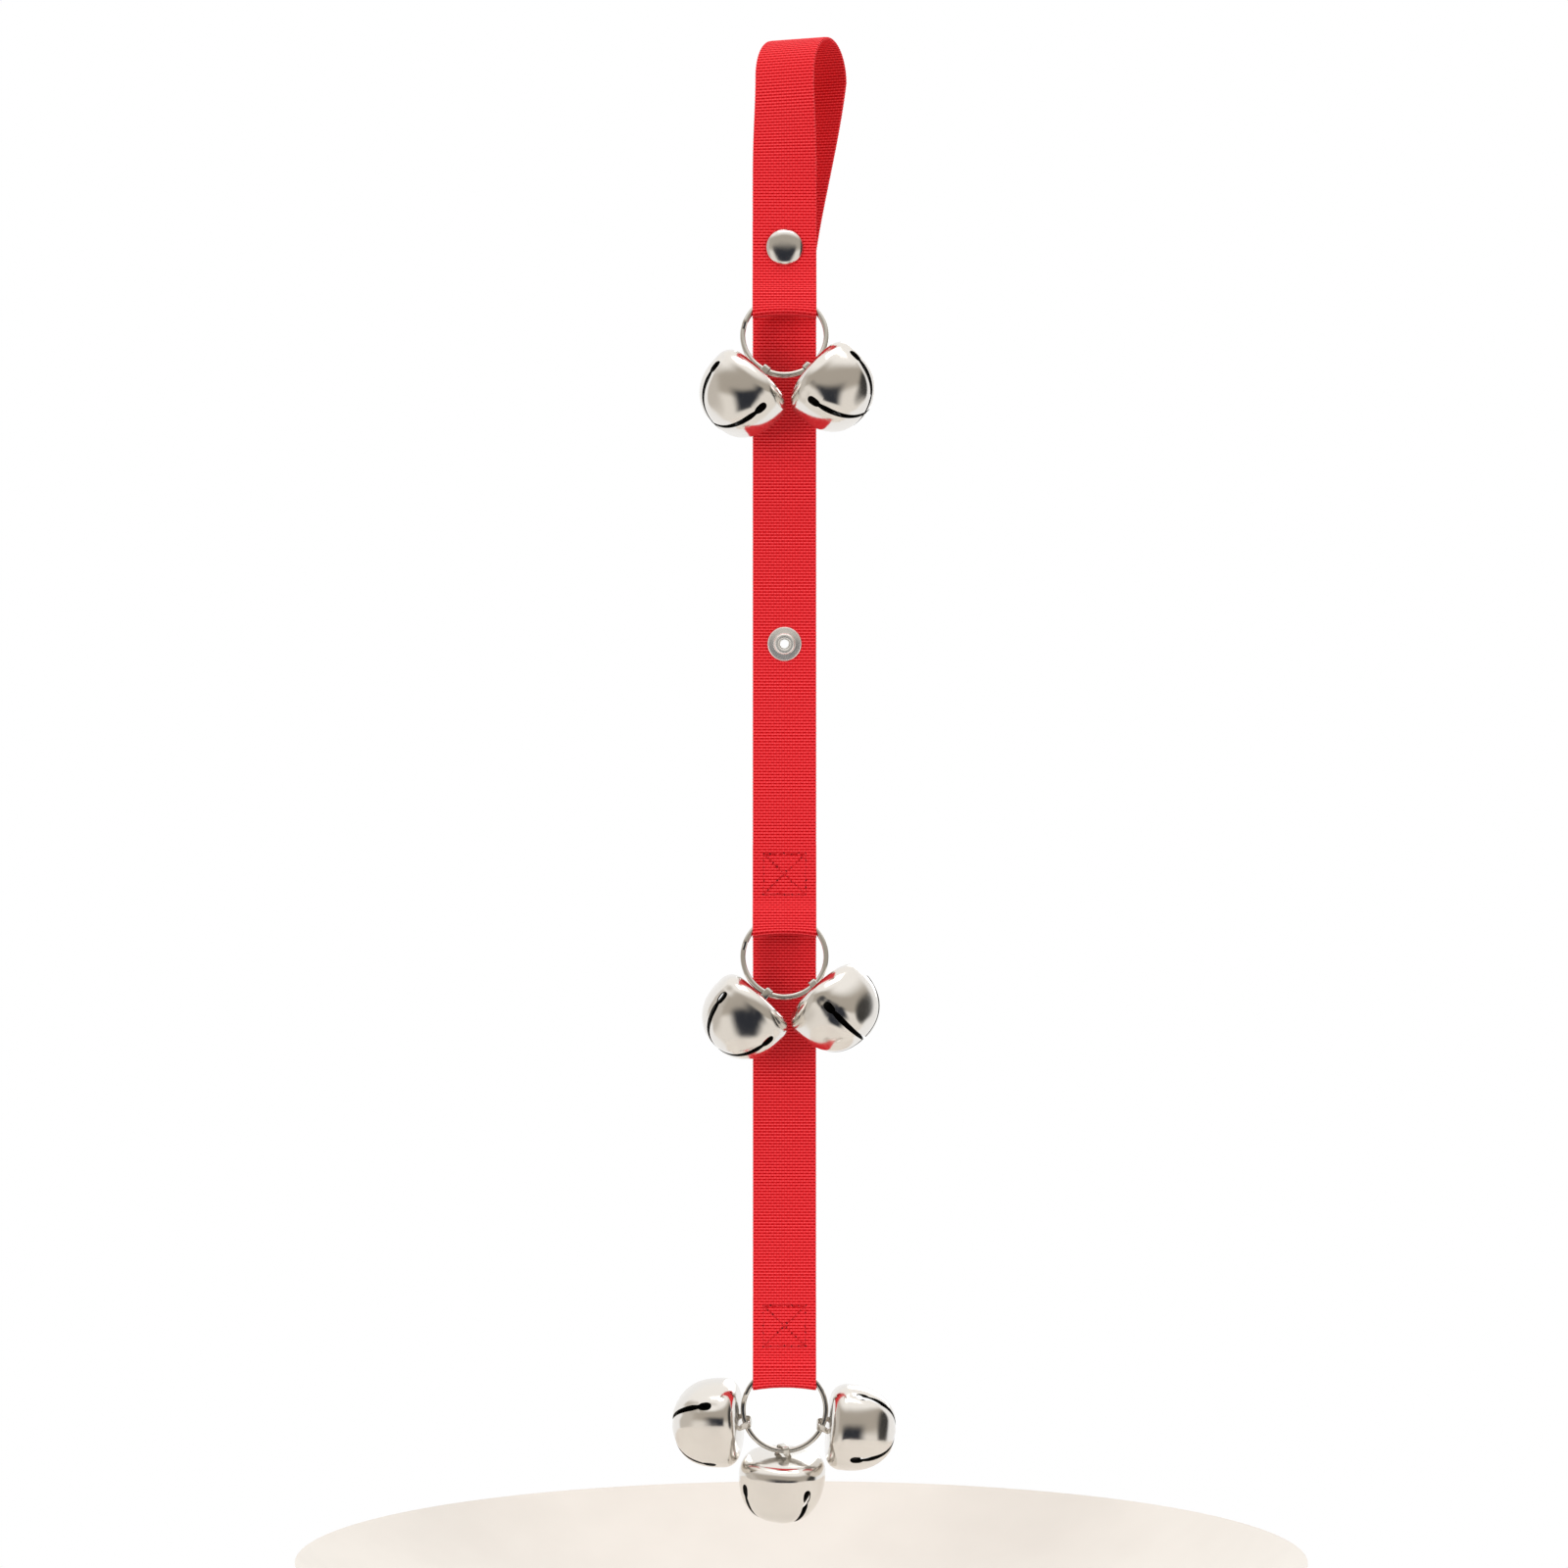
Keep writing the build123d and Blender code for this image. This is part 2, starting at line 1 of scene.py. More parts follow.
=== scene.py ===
import json
import math
import bpy
import bmesh
import numpy as np
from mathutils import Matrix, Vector


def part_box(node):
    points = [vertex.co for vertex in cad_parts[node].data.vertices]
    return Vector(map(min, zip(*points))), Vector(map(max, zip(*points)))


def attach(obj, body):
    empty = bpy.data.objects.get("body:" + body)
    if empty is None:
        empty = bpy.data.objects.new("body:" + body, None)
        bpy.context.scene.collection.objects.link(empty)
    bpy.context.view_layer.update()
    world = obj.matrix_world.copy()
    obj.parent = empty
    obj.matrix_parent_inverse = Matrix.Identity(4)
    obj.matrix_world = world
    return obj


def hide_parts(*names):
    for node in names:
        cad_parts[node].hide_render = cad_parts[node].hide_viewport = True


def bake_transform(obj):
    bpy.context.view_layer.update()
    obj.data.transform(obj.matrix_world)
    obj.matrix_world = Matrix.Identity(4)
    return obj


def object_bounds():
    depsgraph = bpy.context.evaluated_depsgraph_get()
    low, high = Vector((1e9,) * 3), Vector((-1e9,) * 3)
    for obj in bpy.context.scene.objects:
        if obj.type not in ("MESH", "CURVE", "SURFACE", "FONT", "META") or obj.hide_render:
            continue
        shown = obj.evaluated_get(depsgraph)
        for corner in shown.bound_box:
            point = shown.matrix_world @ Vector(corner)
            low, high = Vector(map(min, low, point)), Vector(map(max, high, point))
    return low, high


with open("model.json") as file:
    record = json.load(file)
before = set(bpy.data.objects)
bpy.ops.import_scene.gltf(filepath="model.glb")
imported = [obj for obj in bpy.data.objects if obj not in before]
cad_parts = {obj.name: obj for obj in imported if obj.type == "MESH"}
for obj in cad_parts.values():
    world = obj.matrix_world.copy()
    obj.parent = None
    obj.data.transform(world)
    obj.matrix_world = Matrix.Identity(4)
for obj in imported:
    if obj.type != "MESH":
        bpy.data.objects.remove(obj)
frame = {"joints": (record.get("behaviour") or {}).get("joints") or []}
cadLow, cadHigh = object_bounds()
mm = 0.001
jointOf = {j["name"]: j for j in frame["joints"]}


def jointPlace(name):  # a joint's point, in millimetres
    return np.array(jointOf[name]["pos_m"], float) / mm


def jointAxis(name):
    return np.array(jointOf[name]["axis"], float)


def unit(v):
    return v / np.linalg.norm(v, axis=-1, keepdims=True)


# meshes

def makePiece(name, verts, faces, material, smooth=True, merge=0.0):
    mesh = bpy.data.meshes.new(name)
    mesh.from_pydata((verts * mm).tolist(), [], faces if isinstance(faces, list) else faces.tolist())
    if merge:
        bm = bmesh.new()
        bm.from_mesh(mesh)
        bmesh.ops.remove_doubles(bm, verts=bm.verts, dist=merge * mm)
        bm.to_mesh(mesh)
        bm.free()
    mesh.polygons.foreach_set("use_smooth", np.full(len(mesh.polygons), smooth))
    mesh.update()
    obj = bpy.data.objects.new(name, mesh)
    bpy.context.scene.collection.objects.link(obj)
    mesh.materials.append(material)
    return obj


def gridFaces(rows, cols, wrapCols=False, wrapRows=False, start=0):
    # quads between neighbouring rows and columns of a grid of points
    r = np.arange(rows if wrapRows else rows - 1)
    c = np.arange(cols if wrapCols else cols - 1)
    rr, cc = np.meshgrid(r, c, indexing="ij")
    r2, c2 = (rr + 1) % rows, (cc + 1) % cols
    quad = np.stack([rr * cols + cc, rr * cols + c2, r2 * cols + c2, r2 * cols + cc], -1)
    return quad.reshape(-1, 4) + start


def tubeFaces(rows, cols):
    # quads round a tube, and a cap at each end
    ends = [list(range(cols))[::-1], list(range((rows - 1) * cols, rows * cols))]
    return gridFaces(rows, cols, True).tolist() + ends


def filletPath(corners, radii, step):
    # straight runs joined by arcs that touch both runs, as one list of points
    corners = [np.array(c, float) for c in corners]
    out = [corners[0]]
    for i in range(1, len(corners) - 1):
        p, a, b = corners[i], unit(corners[i - 1] - corners[i]), unit(corners[i + 1] - corners[i])
        if a @ b < -0.9999:  # the two runs are in line
            out.append(p)
            continue
        half = math.acos(max(-1.0, min(1.0, float(a @ b)))) / 2
        cut = radii[i - 1] / math.tan(half)
        centre = p + unit(a + b) * radii[i - 1] / math.sin(half)
        first, last = p + a * cut - centre, p + b * cut - centre
        sweep = math.pi - 2 * half
        count = max(4, int(radii[i - 1] * sweep / step))
        share = np.linspace(0, 1, count)[:, None]
        arc = np.sin((1 - share) * sweep) * first + np.sin(share * sweep) * last
        out.extend(centre + arc / math.sin(sweep))
    out.append(corners[-1])
    return np.array(out)


def evenSteps(points, step, *carried):
    # the same path with points an even distance apart, and what is carried along it
    along = np.concatenate([[0], np.cumsum(np.linalg.norm(np.diff(points, axis=0), axis=1))])
    count = max(2, int(round(along[-1] / step)) + 1)
    at = np.linspace(0, along[-1], count)
    def pick(values):
        return np.stack([np.interp(at, along, values[:, k]) for k in range(values.shape[1])], 1)
    return at, pick(points), [pick(c) for c in carried]


def revolve(name, profile, place, axis, material, segments=72):
    # a profile of (radius, height) pairs turned about an axis through a place
    profile = np.asarray(profile, float)
    axis = unit(np.asarray(axis, float))
    side = unit(np.cross(axis, (0.0, 0.0, 1.0) if abs(axis[2]) < 0.9 else (1.0, 0.0, 0.0)))
    other = np.cross(axis, side)
    angle = np.linspace(0, 2 * math.pi, segments, endpoint=False)
    ring = np.cos(angle)[:, None] * side + np.sin(angle)[:, None] * other
    verts = place + profile[:, None, :1] * ring[None] + profile[:, None, 1:] * axis
    faces = gridFaces(len(profile), segments, True)
    obj = makePiece(name, verts.reshape(-1, 3), faces, material, merge=0.001)
    outward(obj)
    return obj


def outward(obj):
    bm = bmesh.new()
    bm.from_mesh(obj.data)
    bmesh.ops.recalc_face_normals(bm, faces=bm.faces)
    bm.to_mesh(obj.data)
    bm.free()


def softEdges(obj, angle):
    # edges sharper than the angle stay crisp
    obj.data.set_sharp_from_angle(angle=math.radians(angle))


# materials

web = {
    "width": 25.0,
    "thick": 1.3,
    "rib": 1.19,        # distance between rows along the strap
    "yarn": 1.06,       # width of a warp yarn
    "relief": 0.20,     # how far the yarns stand out of the gaps
    "perRib": 5,
    "perRibBack": 4,    # the long back leg has coarser rows
    "perYarn": 4,
    "scallop": 0.16,    # bulge of the weft at the edges
    "edge": 1.2,        # width of the edge that bulges
    "bore": 1.85,       # radius of the opening for an eyelet, just outside its barrel's inside
}


def nodesOf(material):
    material.use_nodes = True
    tree = material.node_tree
    return tree, tree.nodes["Principled BSDF"]


def smoothStep(tree, value, low, high, kind="SMOOTHSTEP"):
    node = tree.nodes.new("ShaderNodeMapRange")
    node.interpolation_type = kind
    node.inputs["From Min"].default_value = low
    node.inputs["From Max"].default_value = high
    tree.links.new(value, node.inputs["Value"])
    return node.outputs[0]


def over(tree, base, top, mask):
    node = tree.nodes.new("ShaderNodeMix")
    node.data_type = "RGBA"
    tree.links.new(mask, node.inputs["Factor"])
    for socket, value in ((node.inputs["A"], base), (node.inputs["B"], top)):
        if isinstance(value, tuple):
            socket.default_value = (*value, 1)
        else:
            tree.links.new(value, socket)
    return node.outputs["Result"]


def maths(tree, operation, first, second):
    node = tree.nodes.new("ShaderNodeMath")
    node.operation = operation
    for socket, value in zip(node.inputs, (first, second)):
        if isinstance(value, (int, float)):
            socket.default_value = value
        else:
            tree.links.new(value, socket)
    return node.outputs[0]


def noise(tree, vector, scale, detail=2):
    node = tree.nodes.new("ShaderNodeTexNoise")
    node.inputs["Scale"].default_value = scale
    node.inputs["Detail"].default_value = detail
    tree.links.new(vector, node.inputs["Vector"])
    return node.outputs["Fac"]


def scratchGroup():
    # fine scratches and cloudy wear: a roughness and a height that change over the surface
    group = bpy.data.node_groups.new("fineScratches", "ShaderNodeTree")
    face = group.interface
    face.new_socket("Scale", in_out="INPUT", socket_type="NodeSocketFloat").default_value = 1.0
    face.new_socket("Smooth", in_out="INPUT", socket_type="NodeSocketFloat").default_value = 0.1
    face.new_socket("Rough", in_out="INPUT", socket_type="NodeSocketFloat").default_value = 0.3
    face.new_socket("Roughness", in_out="OUTPUT", socket_type="NodeSocketFloat")
    face.new_socket("Height", in_out="OUTPUT", socket_type="NodeSocketFloat")
    n, link = group.nodes, group.links
    given, result = n.new("NodeGroupInput"), n.new("NodeGroupOutput")
    coord = n.new("ShaderNodeTexCoord")
    size = n.new("ShaderNodeVectorMath")
    size.operation = "SCALE"
    link.new(coord.outputs["Object"], size.inputs[0])
    link.new(given.outputs["Scale"], size.inputs["Scale"])
    cloud = noise(group, size.outputs[0], 90, 5)
    lines = []
    for turn in ((0.3, 0.7, 1.1), (1.2, -0.4, 2.3)):
        mapping = n.new("ShaderNodeMapping")
        mapping.inputs["Rotation"].default_value = turn
        mapping.inputs["Scale"].default_value = (1.0, 1.0, 0.04)
        link.new(size.outputs[0], mapping.inputs["Vector"])
        lines.append(noise(group, mapping.outputs[0], 1500))
    sharp = smoothStep(group, maths(group, "MAXIMUM", *lines), 0.62, 0.78, "LINEAR")
    wear = smoothStep(group, cloud, 0.35, 0.75, "LINEAR")
    mixed = n.new("ShaderNodeMath")
    mixed.operation = "MULTIPLY_ADD"
    mixed.use_clamp = True
    mixed.inputs[1].default_value = 0.45
    link.new(sharp, mixed.inputs[0])
    link.new(wear, mixed.inputs[2])
    final = n.new("ShaderNodeMapRange")
    link.new(mixed.outputs[0], final.inputs["Value"])
    link.new(given.outputs["Smooth"], final.inputs["To Min"])
    link.new(given.outputs["Rough"], final.inputs["To Max"])
    link.new(final.outputs[0], result.inputs["Roughness"])
    link.new(sharp, result.inputs["Height"])
    return group


scratches = scratchGroup()


def nickel(name, colour, smooth, rough, scale=1.0, metal=1.0):
    material = bpy.data.materials.new(name)
    tree, shader = nodesOf(material)
    shader.inputs["Base Color"].default_value = (*colour, 1)
    shader.inputs["Metallic"].default_value = metal
    wear = tree.nodes.new("ShaderNodeGroup")
    wear.node_tree = scratches
    wear.inputs["Scale"].default_value = scale
    wear.inputs["Smooth"].default_value = smooth
    wear.inputs["Rough"].default_value = rough
    tree.links.new(wear.outputs["Roughness"], shader.inputs["Roughness"])
    bump = tree.nodes.new("ShaderNodeBump")
    bump.inputs["Strength"].default_value = 0.05
    bump.inputs["Distance"].default_value = 0.00005
    tree.links.new(wear.outputs["Height"], bump.inputs["Height"])
    tree.links.new(bump.outputs["Normal"], shader.inputs["Normal"])
    return material


def weaveShadingGroup():
    # the weave's painted shade in the gaps and painted highlight on the yarn tops, from the strap's own
    # coordinates, by the same formula as weaveHeight
    group = bpy.data.node_groups.new("weaveShadeAndHighlight", "ShaderNodeTree")
    group.interface.new_socket("Tone", in_out="OUTPUT", socket_type="NodeSocketFloat")
    uv = group.nodes.new("ShaderNodeUVMap")
    uv.uv_map = "strapUv"
    part = group.nodes.new("ShaderNodeSeparateXYZ")
    group.links.new(uv.outputs[0], part.inputs[0])
    u = maths(group, "DIVIDE", part.outputs[0], web["yarn"])
    v = maths(group, "DIVIDE", part.outputs[1], web["rib"])
    line = maths(group, "ROUND", v, 0)
    gap = smoothStep(group, maths(group, "ABSOLUTE", maths(group, "SUBTRACT", v, line), 0), 0.47, 0.04)
    wave = maths(group, "SINE", maths(group, "MULTIPLY", u, math.pi), 0)
    bump = maths(group, "POWER", maths(group, "ABSOLUTE", wave, 0), 0.8)
    cell = maths(group, "ADD", maths(group, "FLOOR", u, 0), line)
    deep = maths(group, "MULTIPLY", maths(group, "PINGPONG", cell, 1.0), bump)
    # painted shade: darker in the gaps between rows, darkest in the deep gaps
    dark = maths(group, "MULTIPLY", gap, maths(group, "ADD", maths(group, "MULTIPLY", deep, 0.30), 0.62))
    # painted highlight: lighter at the top of each yarn
    light = maths(group, "ADD", maths(group, "MULTIPLY", bump, 0.32), 0.68)
    tone = maths(group, "MULTIPLY", light, maths(group, "SUBTRACT", 1.0, dark))
    result = group.nodes.new("NodeGroupOutput")
    group.links.new(tone, result.inputs["Tone"])
    return group


def webbingMaterial(name, deep, middle, bright):
    # painted shade: deep red in the gaps of the weave; painted highlight: bright pink on the yarns; with
    # fine streaks along the yarns
    material = bpy.data.materials.new(name)
    tree, shader = nodesOf(material)
    n, link = tree.nodes, tree.links
    # this group's tone is painted shade and painted highlight from the weave's shape
    height = n.new("ShaderNodeGroup")
    height.node_tree = weave
    uv = n.new("ShaderNodeUVMap")
    uv.uv_map = "strapUv"
    stretch = n.new("ShaderNodeMapping")
    stretch.inputs["Scale"].default_value = (6.0, 0.7, 1.0)
    link.new(uv.outputs[0], stretch.inputs["Vector"])
    streak = noise(tree, stretch.outputs[0], 1.0, 3)
    tone = n.new("ShaderNodeMath")
    tone.operation = "MULTIPLY_ADD"
    tone.use_clamp = True
    tone.inputs[1].default_value = 0.30
    link.new(streak, tone.inputs[0])
    link.new(maths(tree, "SUBTRACT", height.outputs["Tone"], 0.15), tone.inputs[2])
    ramp = n.new("ShaderNodeValToRGB")
    ramp.color_ramp.elements[0].position = 0.12
    ramp.color_ramp.elements[0].color = (*deep, 1)
    ramp.color_ramp.elements[1].position = 0.98
    ramp.color_ramp.elements[1].color = (*bright, 1)
    ramp.color_ramp.elements.new(0.62).color = (*middle, 1)
    link.new(tone.outputs[0], ramp.inputs["Fac"])
    link.new(ramp.outputs["Color"], shader.inputs["Base Color"])
    shader.inputs["Roughness"].default_value = 0.55
    shader.inputs["Specular IOR Level"].default_value = 0.10
    bump = n.new("ShaderNodeBump")
    bump.inputs["Strength"].default_value = 0.25
    bump.inputs["Distance"].default_value = 0.0001
    link.new(streak, bump.inputs["Height"])
    link.new(bump.outputs["Normal"], shader.inputs["Normal"])
    return material


def threadMaterial(name, dark, light, roughness):
    # thread, and the painted shade of needle holes: a tone that changes along fine fibres
    material = bpy.data.materials.new(name)
    tree, shader = nodesOf(material)
    n, link = tree.nodes, tree.links
    coord = n.new("ShaderNodeTexCoord")
    fibre = noise(tree, coord.outputs["Object"], 900, 3)
    ramp = n.new("ShaderNodeValToRGB")
    ramp.color_ramp.elements[0].position = 0.35
    ramp.color_ramp.elements[0].color = (*dark, 1)
    ramp.color_ramp.elements[1].position = 0.65
    ramp.color_ramp.elements[1].color = (*light, 1)
    link.new(fibre, ramp.inputs["Fac"])
    link.new(ramp.outputs["Color"], shader.inputs["Base Color"])
    shader.inputs["Roughness"].default_value = roughness
    shader.inputs["Specular IOR Level"].default_value = 0.3
    return material


weave = weaveShadingGroup()
bellNickel = nickel("bellNickel", (0.80, 0.77, 0.73), 0.10, 0.24)
ringNickel = nickel("ringNickel", (0.66, 0.64, 0.60), 0.12, 0.26, 1.6)
snapNickel = nickel("snapNickel", (0.80, 0.78, 0.75), 0.10, 0.22, 1.8)
studTin = nickel("studTin", (0.92, 0.91, 0.89), 0.18, 0.36, 1.8, 0.72)
# painted shade: the bell's inside and the walls of its slots, which lie in shadow, get a near-black metal
bellInsideShade = nickel("bellInsideShade", (0.085, 0.083, 0.075), 0.40, 0.60)
ballSteel = nickel("ballSteel", (0.16, 0.16, 0.165), 0.30, 0.50)
# the deep colour is painted shade for the weave's gaps, the bright pink one a painted highlight for the
# yarn tops
redWebbing = webbingMaterial("redWebbing", (0.44, 0.001, 0.003), (0.84, 0.016, 0.025), (1.0, 0.094, 0.112))
redThread = threadMaterial("redThread", (0.52, 0.005, 0.010), (0.68, 0.009, 0.016), 0.5)
# painted shade: the dark of a needle hole, where there is only shadow
paintedHoleShade = threadMaterial("paintedHoleShade", (0.12, 0.001, 0.003), (0.32, 0.003, 0.007), 0.8)

print("materials ready")

# webbing

def strapSection():
    # round the section: across the front, round one edge, across the back, round the other
    half, deep = web["width"] / 2, web["thick"] / 2 - web["relief"]
    flat = half - deep
    cols = int(round(2 * flat / web["yarn"] * web["perYarn"]))
    across = np.linspace(-flat, flat, cols + 1)
    turn = np.linspace(math.pi / 2, -math.pi / 2, 6)[1:-1]
    front = np.stack([across, np.full_like(across, deep), 0 * across, 1 + 0 * across], 1)
    right = np.stack([flat + deep * np.cos(turn), deep * np.sin(turn), np.cos(turn), np.sin(turn)], 1)
    back = front[::-1] * (1, -1, 1, -1)
    left = right[::-1] * (-1, 1, -1, 1)
    return np.concatenate([front, right, back, left])


def weaveHeight(across, along):
    # rows of small bumps, one for each yarn; between two rows every second yarn has a deep gap, and
    # the deep gaps sit one yarn to the side between the next two rows
    u, v = across / web["yarn"], along / web["rib"]
    line = np.round(v)
    gap = np.clip((0.47 - np.abs(v - line)) / 0.43, 0, 1)
    gap = gap * gap * (3 - 2 * gap)
    bump = np.abs(np.sin(math.pi * u)) ** 0.8
    deep = np.where((np.floor(u) + line) % 2 == 1, bump, 0)
    odd = np.sin(17.3 * np.floor(u) + 5.1 * np.floor(v))
    return np.clip((0.68 + 0.32 * bump) * (1 - gap * (0.62 + 0.30 * deep)) * (0.95 + 0.05 * odd), 0, 1)


def boredFaces(faces, away, rows, cols):
    # quads near the bore are left out, front and back, and a wall joins the two openings
    front = (cols - 8) // 2
    out = (away[:-1, :front - 1] + away[1:, 1:front]) / 2 < web["bore"]
    i, j = np.nonzero(out)
    gone = np.concatenate([i * cols + j, i * cols + 2 * front + 2 - j])
    def both(i, j):
        return i * cols + j, i * cols + 2 * front + 3 - j
    i, j = np.nonzero(out[1:] != out[:-1])
    (a, c), (b, d) = both(i + 1, j), both(i + 1, j + 1)
    wall = [np.stack([a, b, d, c], 1)]
    i, j = np.nonzero(out[:, 1:] != out[:, :-1])
    (a, c), (b, d) = both(i, j + 1), both(i + 1, j + 1)
    wall.append(np.stack([a, b, d, c], 1))
    return np.concatenate([np.delete(faces, gone, 0), *wall])


def webbingPiece(name, points, across, start=0.0, bend=None, bore=None, perRib=web["perRib"]):
    # the section carried along a path; `across` is the direction of the width at each point
    at, spine, (wide,) = evenSteps(points, web["rib"] / perRib, across)
    wide = unit(wide)
    tangent = unit(np.gradient(spine, axis=0))
    normal = unit(np.cross(wide, tangent))
    section = strapSection()
    along = (at + start)[:, None] + 0 * section[None, :, 0]
    sideways = 0 * at[:, None] + section[None, :, 0]
    height = weaveHeight(sideways, along)
    edge = np.clip((np.abs(sideways) - web["width"] / 2) / web["edge"] + 1, 0, 1)
    rib = np.abs(np.sin(math.pi * along / web["rib"]))
    push = web["relief"] * height * (1 - 0.5 * edge)
    push = push + web["scallop"] * edge * rib * np.abs(section[None, :, 2])
    a = section[None, :, 0] + section[None, :, 2] * push
    b = section[None, :, 1] + section[None, :, 3] * push
    verts = spine[:, None] + wide[:, None] * a[..., None] + normal[:, None] * b[..., None]
    if bend is not None:
        verts = bend(verts, sideways)
    rows, cols = height.shape
    faces = gridFaces(rows, cols, True)[:, ::-1]
    if bore is not None:
        faces = boredFaces(faces, np.hypot(sideways, spine[:, None, 2] - bore), rows, cols)
    faces = faces.tolist()
    faces.append(list(range(cols)))
    faces.append(list(range((rows - 1) * cols, rows * cols))[::-1])
    mesh = bpy.data.meshes.new(name)
    mesh.from_pydata((verts.reshape(-1, 3) * mm).tolist(), [], faces)
    smooth = np.full(len(mesh.polygons), True)
    smooth[-2:] = False
    mesh.polygons.foreach_set("use_smooth", smooth)
    loops = np.zeros(len(mesh.loops), np.int32)
    mesh.loops.foreach_get("vertex_index", loops)
    uv = np.stack([sideways.ravel(), along.ravel()], 1)[loops]
    mesh.uv_layers.new(name="strapUv").data.foreach_set("uv", uv.ravel().astype(np.float32))
    mesh.update()
    obj = bpy.data.objects.new(name, mesh)
    bpy.context.scene.collection.objects.link(obj)
    mesh.materials.append(redWebbing)
    if bore is not None:
        outward(obj)
    print(name, "length", round(float(at[-1]), 1), "faces", len(mesh.polygons))
    return obj, start + float(at[-1])


flapHinge = jointPlace("snap_flap_open")
upperHinge = jointPlace("upper_strap_bend")
lowerHinge = jointPlace("lower_strap_bend")
pocketHinge = {n: jointPlace(f"ring_pocket_{n}_bend") for n in "123"}
ringCentre = {n: jointPlace(f"ring_{n}_turn") for n in "123"}
ringFront = {n: jointAxis(f"ring_{n}_turn") for n in "123"}
strapX = flapHinge[0]

loop = {
    "radius": 15.65,     # middle of the webbing in the top bend
    "turn": 25.0,        # the top bend's axis from the strap's face, degrees
    "flapTop": 0.8,      # above the flap's bend, where the front leg is straight
    "backJoin": -68.0,   # height where the back leg meets the strap's line
    "backEase": 0.25,    # share of easing in the back leg, which the bells' weight pulls straight
}
# heights where one piece of webbing ends and the next begins
cut = {"upper": -100.0, "middle": -215.0, "middlePocket": -296.0, "lower": -385.0, "lowerPocket": -476.0}


def legPoints(start, end, startTurn, easing=1.0, count=80):
    # down a leg of the loop: from the top bend's direction to the strap's, by a straight line and a
    # smooth ease mixed
    share = np.linspace(0, 1, count)[:, None]
    ease = share + easing * (share * share * (3 - 2 * share) - share)
    spot = start + (end - start) * np.concatenate([ease, ease, share], 1)
    turn = np.radians(startTurn) * (1 - ease[:, 0])
    wide = np.stack([np.cos(turn), np.sin(turn), 0 * turn], 1)
    return spot, wide


def archPoints(startAngle, endAngle, count=60):
    # over the top: an arc about the bend's axis, angle 0 at the front and 180 at the back
    turn = math.radians(loop["turn"])
    front = np.array([-math.sin(turn), -math.cos(turn), 0])
    angle = np.radians(np.linspace(startAngle, endAngle, count))[:, None]
    spot = loop["radius"] * (np.cos(angle) * front + np.sin(angle) * np.array([0, 0, 1.0]))
    wide = np.tile([math.cos(turn), -math.sin(turn), 0], (count, 1))
    return spot, wide


def straight(x, y, top, bottom, count=12):
    spot = np.stack([np.full(count, x), np.full(count, y), np.linspace(top, bottom, count)], 1)
    return spot, np.tile([1.0, 0, 0], (count, 1))


def joined(*runs):
    spots, wides = [runs[0][0]], [runs[0][1]]
    for spot, wide in runs[1:]:
        spots.append(spot[1:])
        wides.append(wide[1:])
    return np.concatenate(spots), np.concatenate(wides)


def middleHeight(node):
    low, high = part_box(node)
    return float(low[2] + high[2]) / 2 / mm


def blendAt(obj):
    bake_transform(obj)


snapZ = middleHeight("snap_cap")
lowerStudZ = middleHeight("lower_stud")
strapY = upperHinge[1]
lowerStrapY = lowerHinge[1]
flapY = flapHinge[1]
foldPitch = 2 * (pocketHinge["1"][1] - flapY)

flapTop = flapHinge[2] + loop["flapTop"]
flapEnd = snapZ + 1.0
arch = archPoints(90, 0)
frontLeg = legPoints(arch[0][-1], np.array([strapX, flapY, flapTop]), -loop["turn"])
loopFront, flapLength = webbingPiece(
    "loopFront", *joined(arch, frontLeg, straight(strapX, flapY, flapTop, flapEnd)))
blendAt(loopFront)

backArch = archPoints(90, 180)
backEnd = np.array([strapX, strapY, loop["backJoin"]])
backLeg = legPoints(backArch[0][-1], backEnd, -loop["turn"], loop["backEase"])
backRun = joined(backArch, backLeg, straight(strapX, strapY, loop["backJoin"], cut["upper"]))
loopBack, backLength = webbingPiece("loopBack", *backRun, bore=snapZ, perRib=web["perRibBack"])
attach(loopBack, "knob_loop")
upperRun = straight(strapX, strapY, cut["upper"], cut["middle"])
strapUpper, backLength = webbingPiece("strapUpper", *upperRun, start=backLength)
blendAt(strapUpper)
middleRun = straight(strapX, strapY, cut["middle"], cut["middlePocket"])
strapMiddle, backLength = webbingPiece("strapMiddle", *middleRun, start=backLength, bore=lowerStudZ)
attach(strapMiddle, "middle_strap")

seam = {"height": 17.0, "margin": 1.5, "rise": 3.0}
slant = {"start": 3.0, "run": 20.0, "bend": 20.0}
seamZ = {"2": pocketHinge["2"][2] + seam["margin"] + seam["height"] / 2,
         "3": pocketHinge["3"][2] + seam["margin"] + seam["height"] / 2}
lowerTop = seamZ["2"] + seam["height"] / 2 + seam["rise"]
seamBackY = strapY + 2 * foldPitch
slantTop = pocketHinge["2"][2] - slant["start"]
slantPath = filletPath(
    [(strapX, seamBackY, lowerTop), (strapX, seamBackY, slantTop),
     (strapX, lowerStrapY, slantTop - slant["run"]), (strapX, lowerStrapY, cut["lower"])],
    [slant["bend"]] * 2, 0.3)
slantWide = np.tile([1.0, 0, 0], (len(slantPath), 1))
strapLowerTop, lowerLength = webbingPiece("strapLowerTop", slantPath, slantWide)
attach(strapLowerTop, "middle_strap")
lowerRun = straight(strapX, lowerStrapY, cut["lower"], cut["lowerPocket"])
strapLower, lowerLength = webbingPiece("strapLower", *lowerRun, start=lowerLength)
blendAt(strapLower)

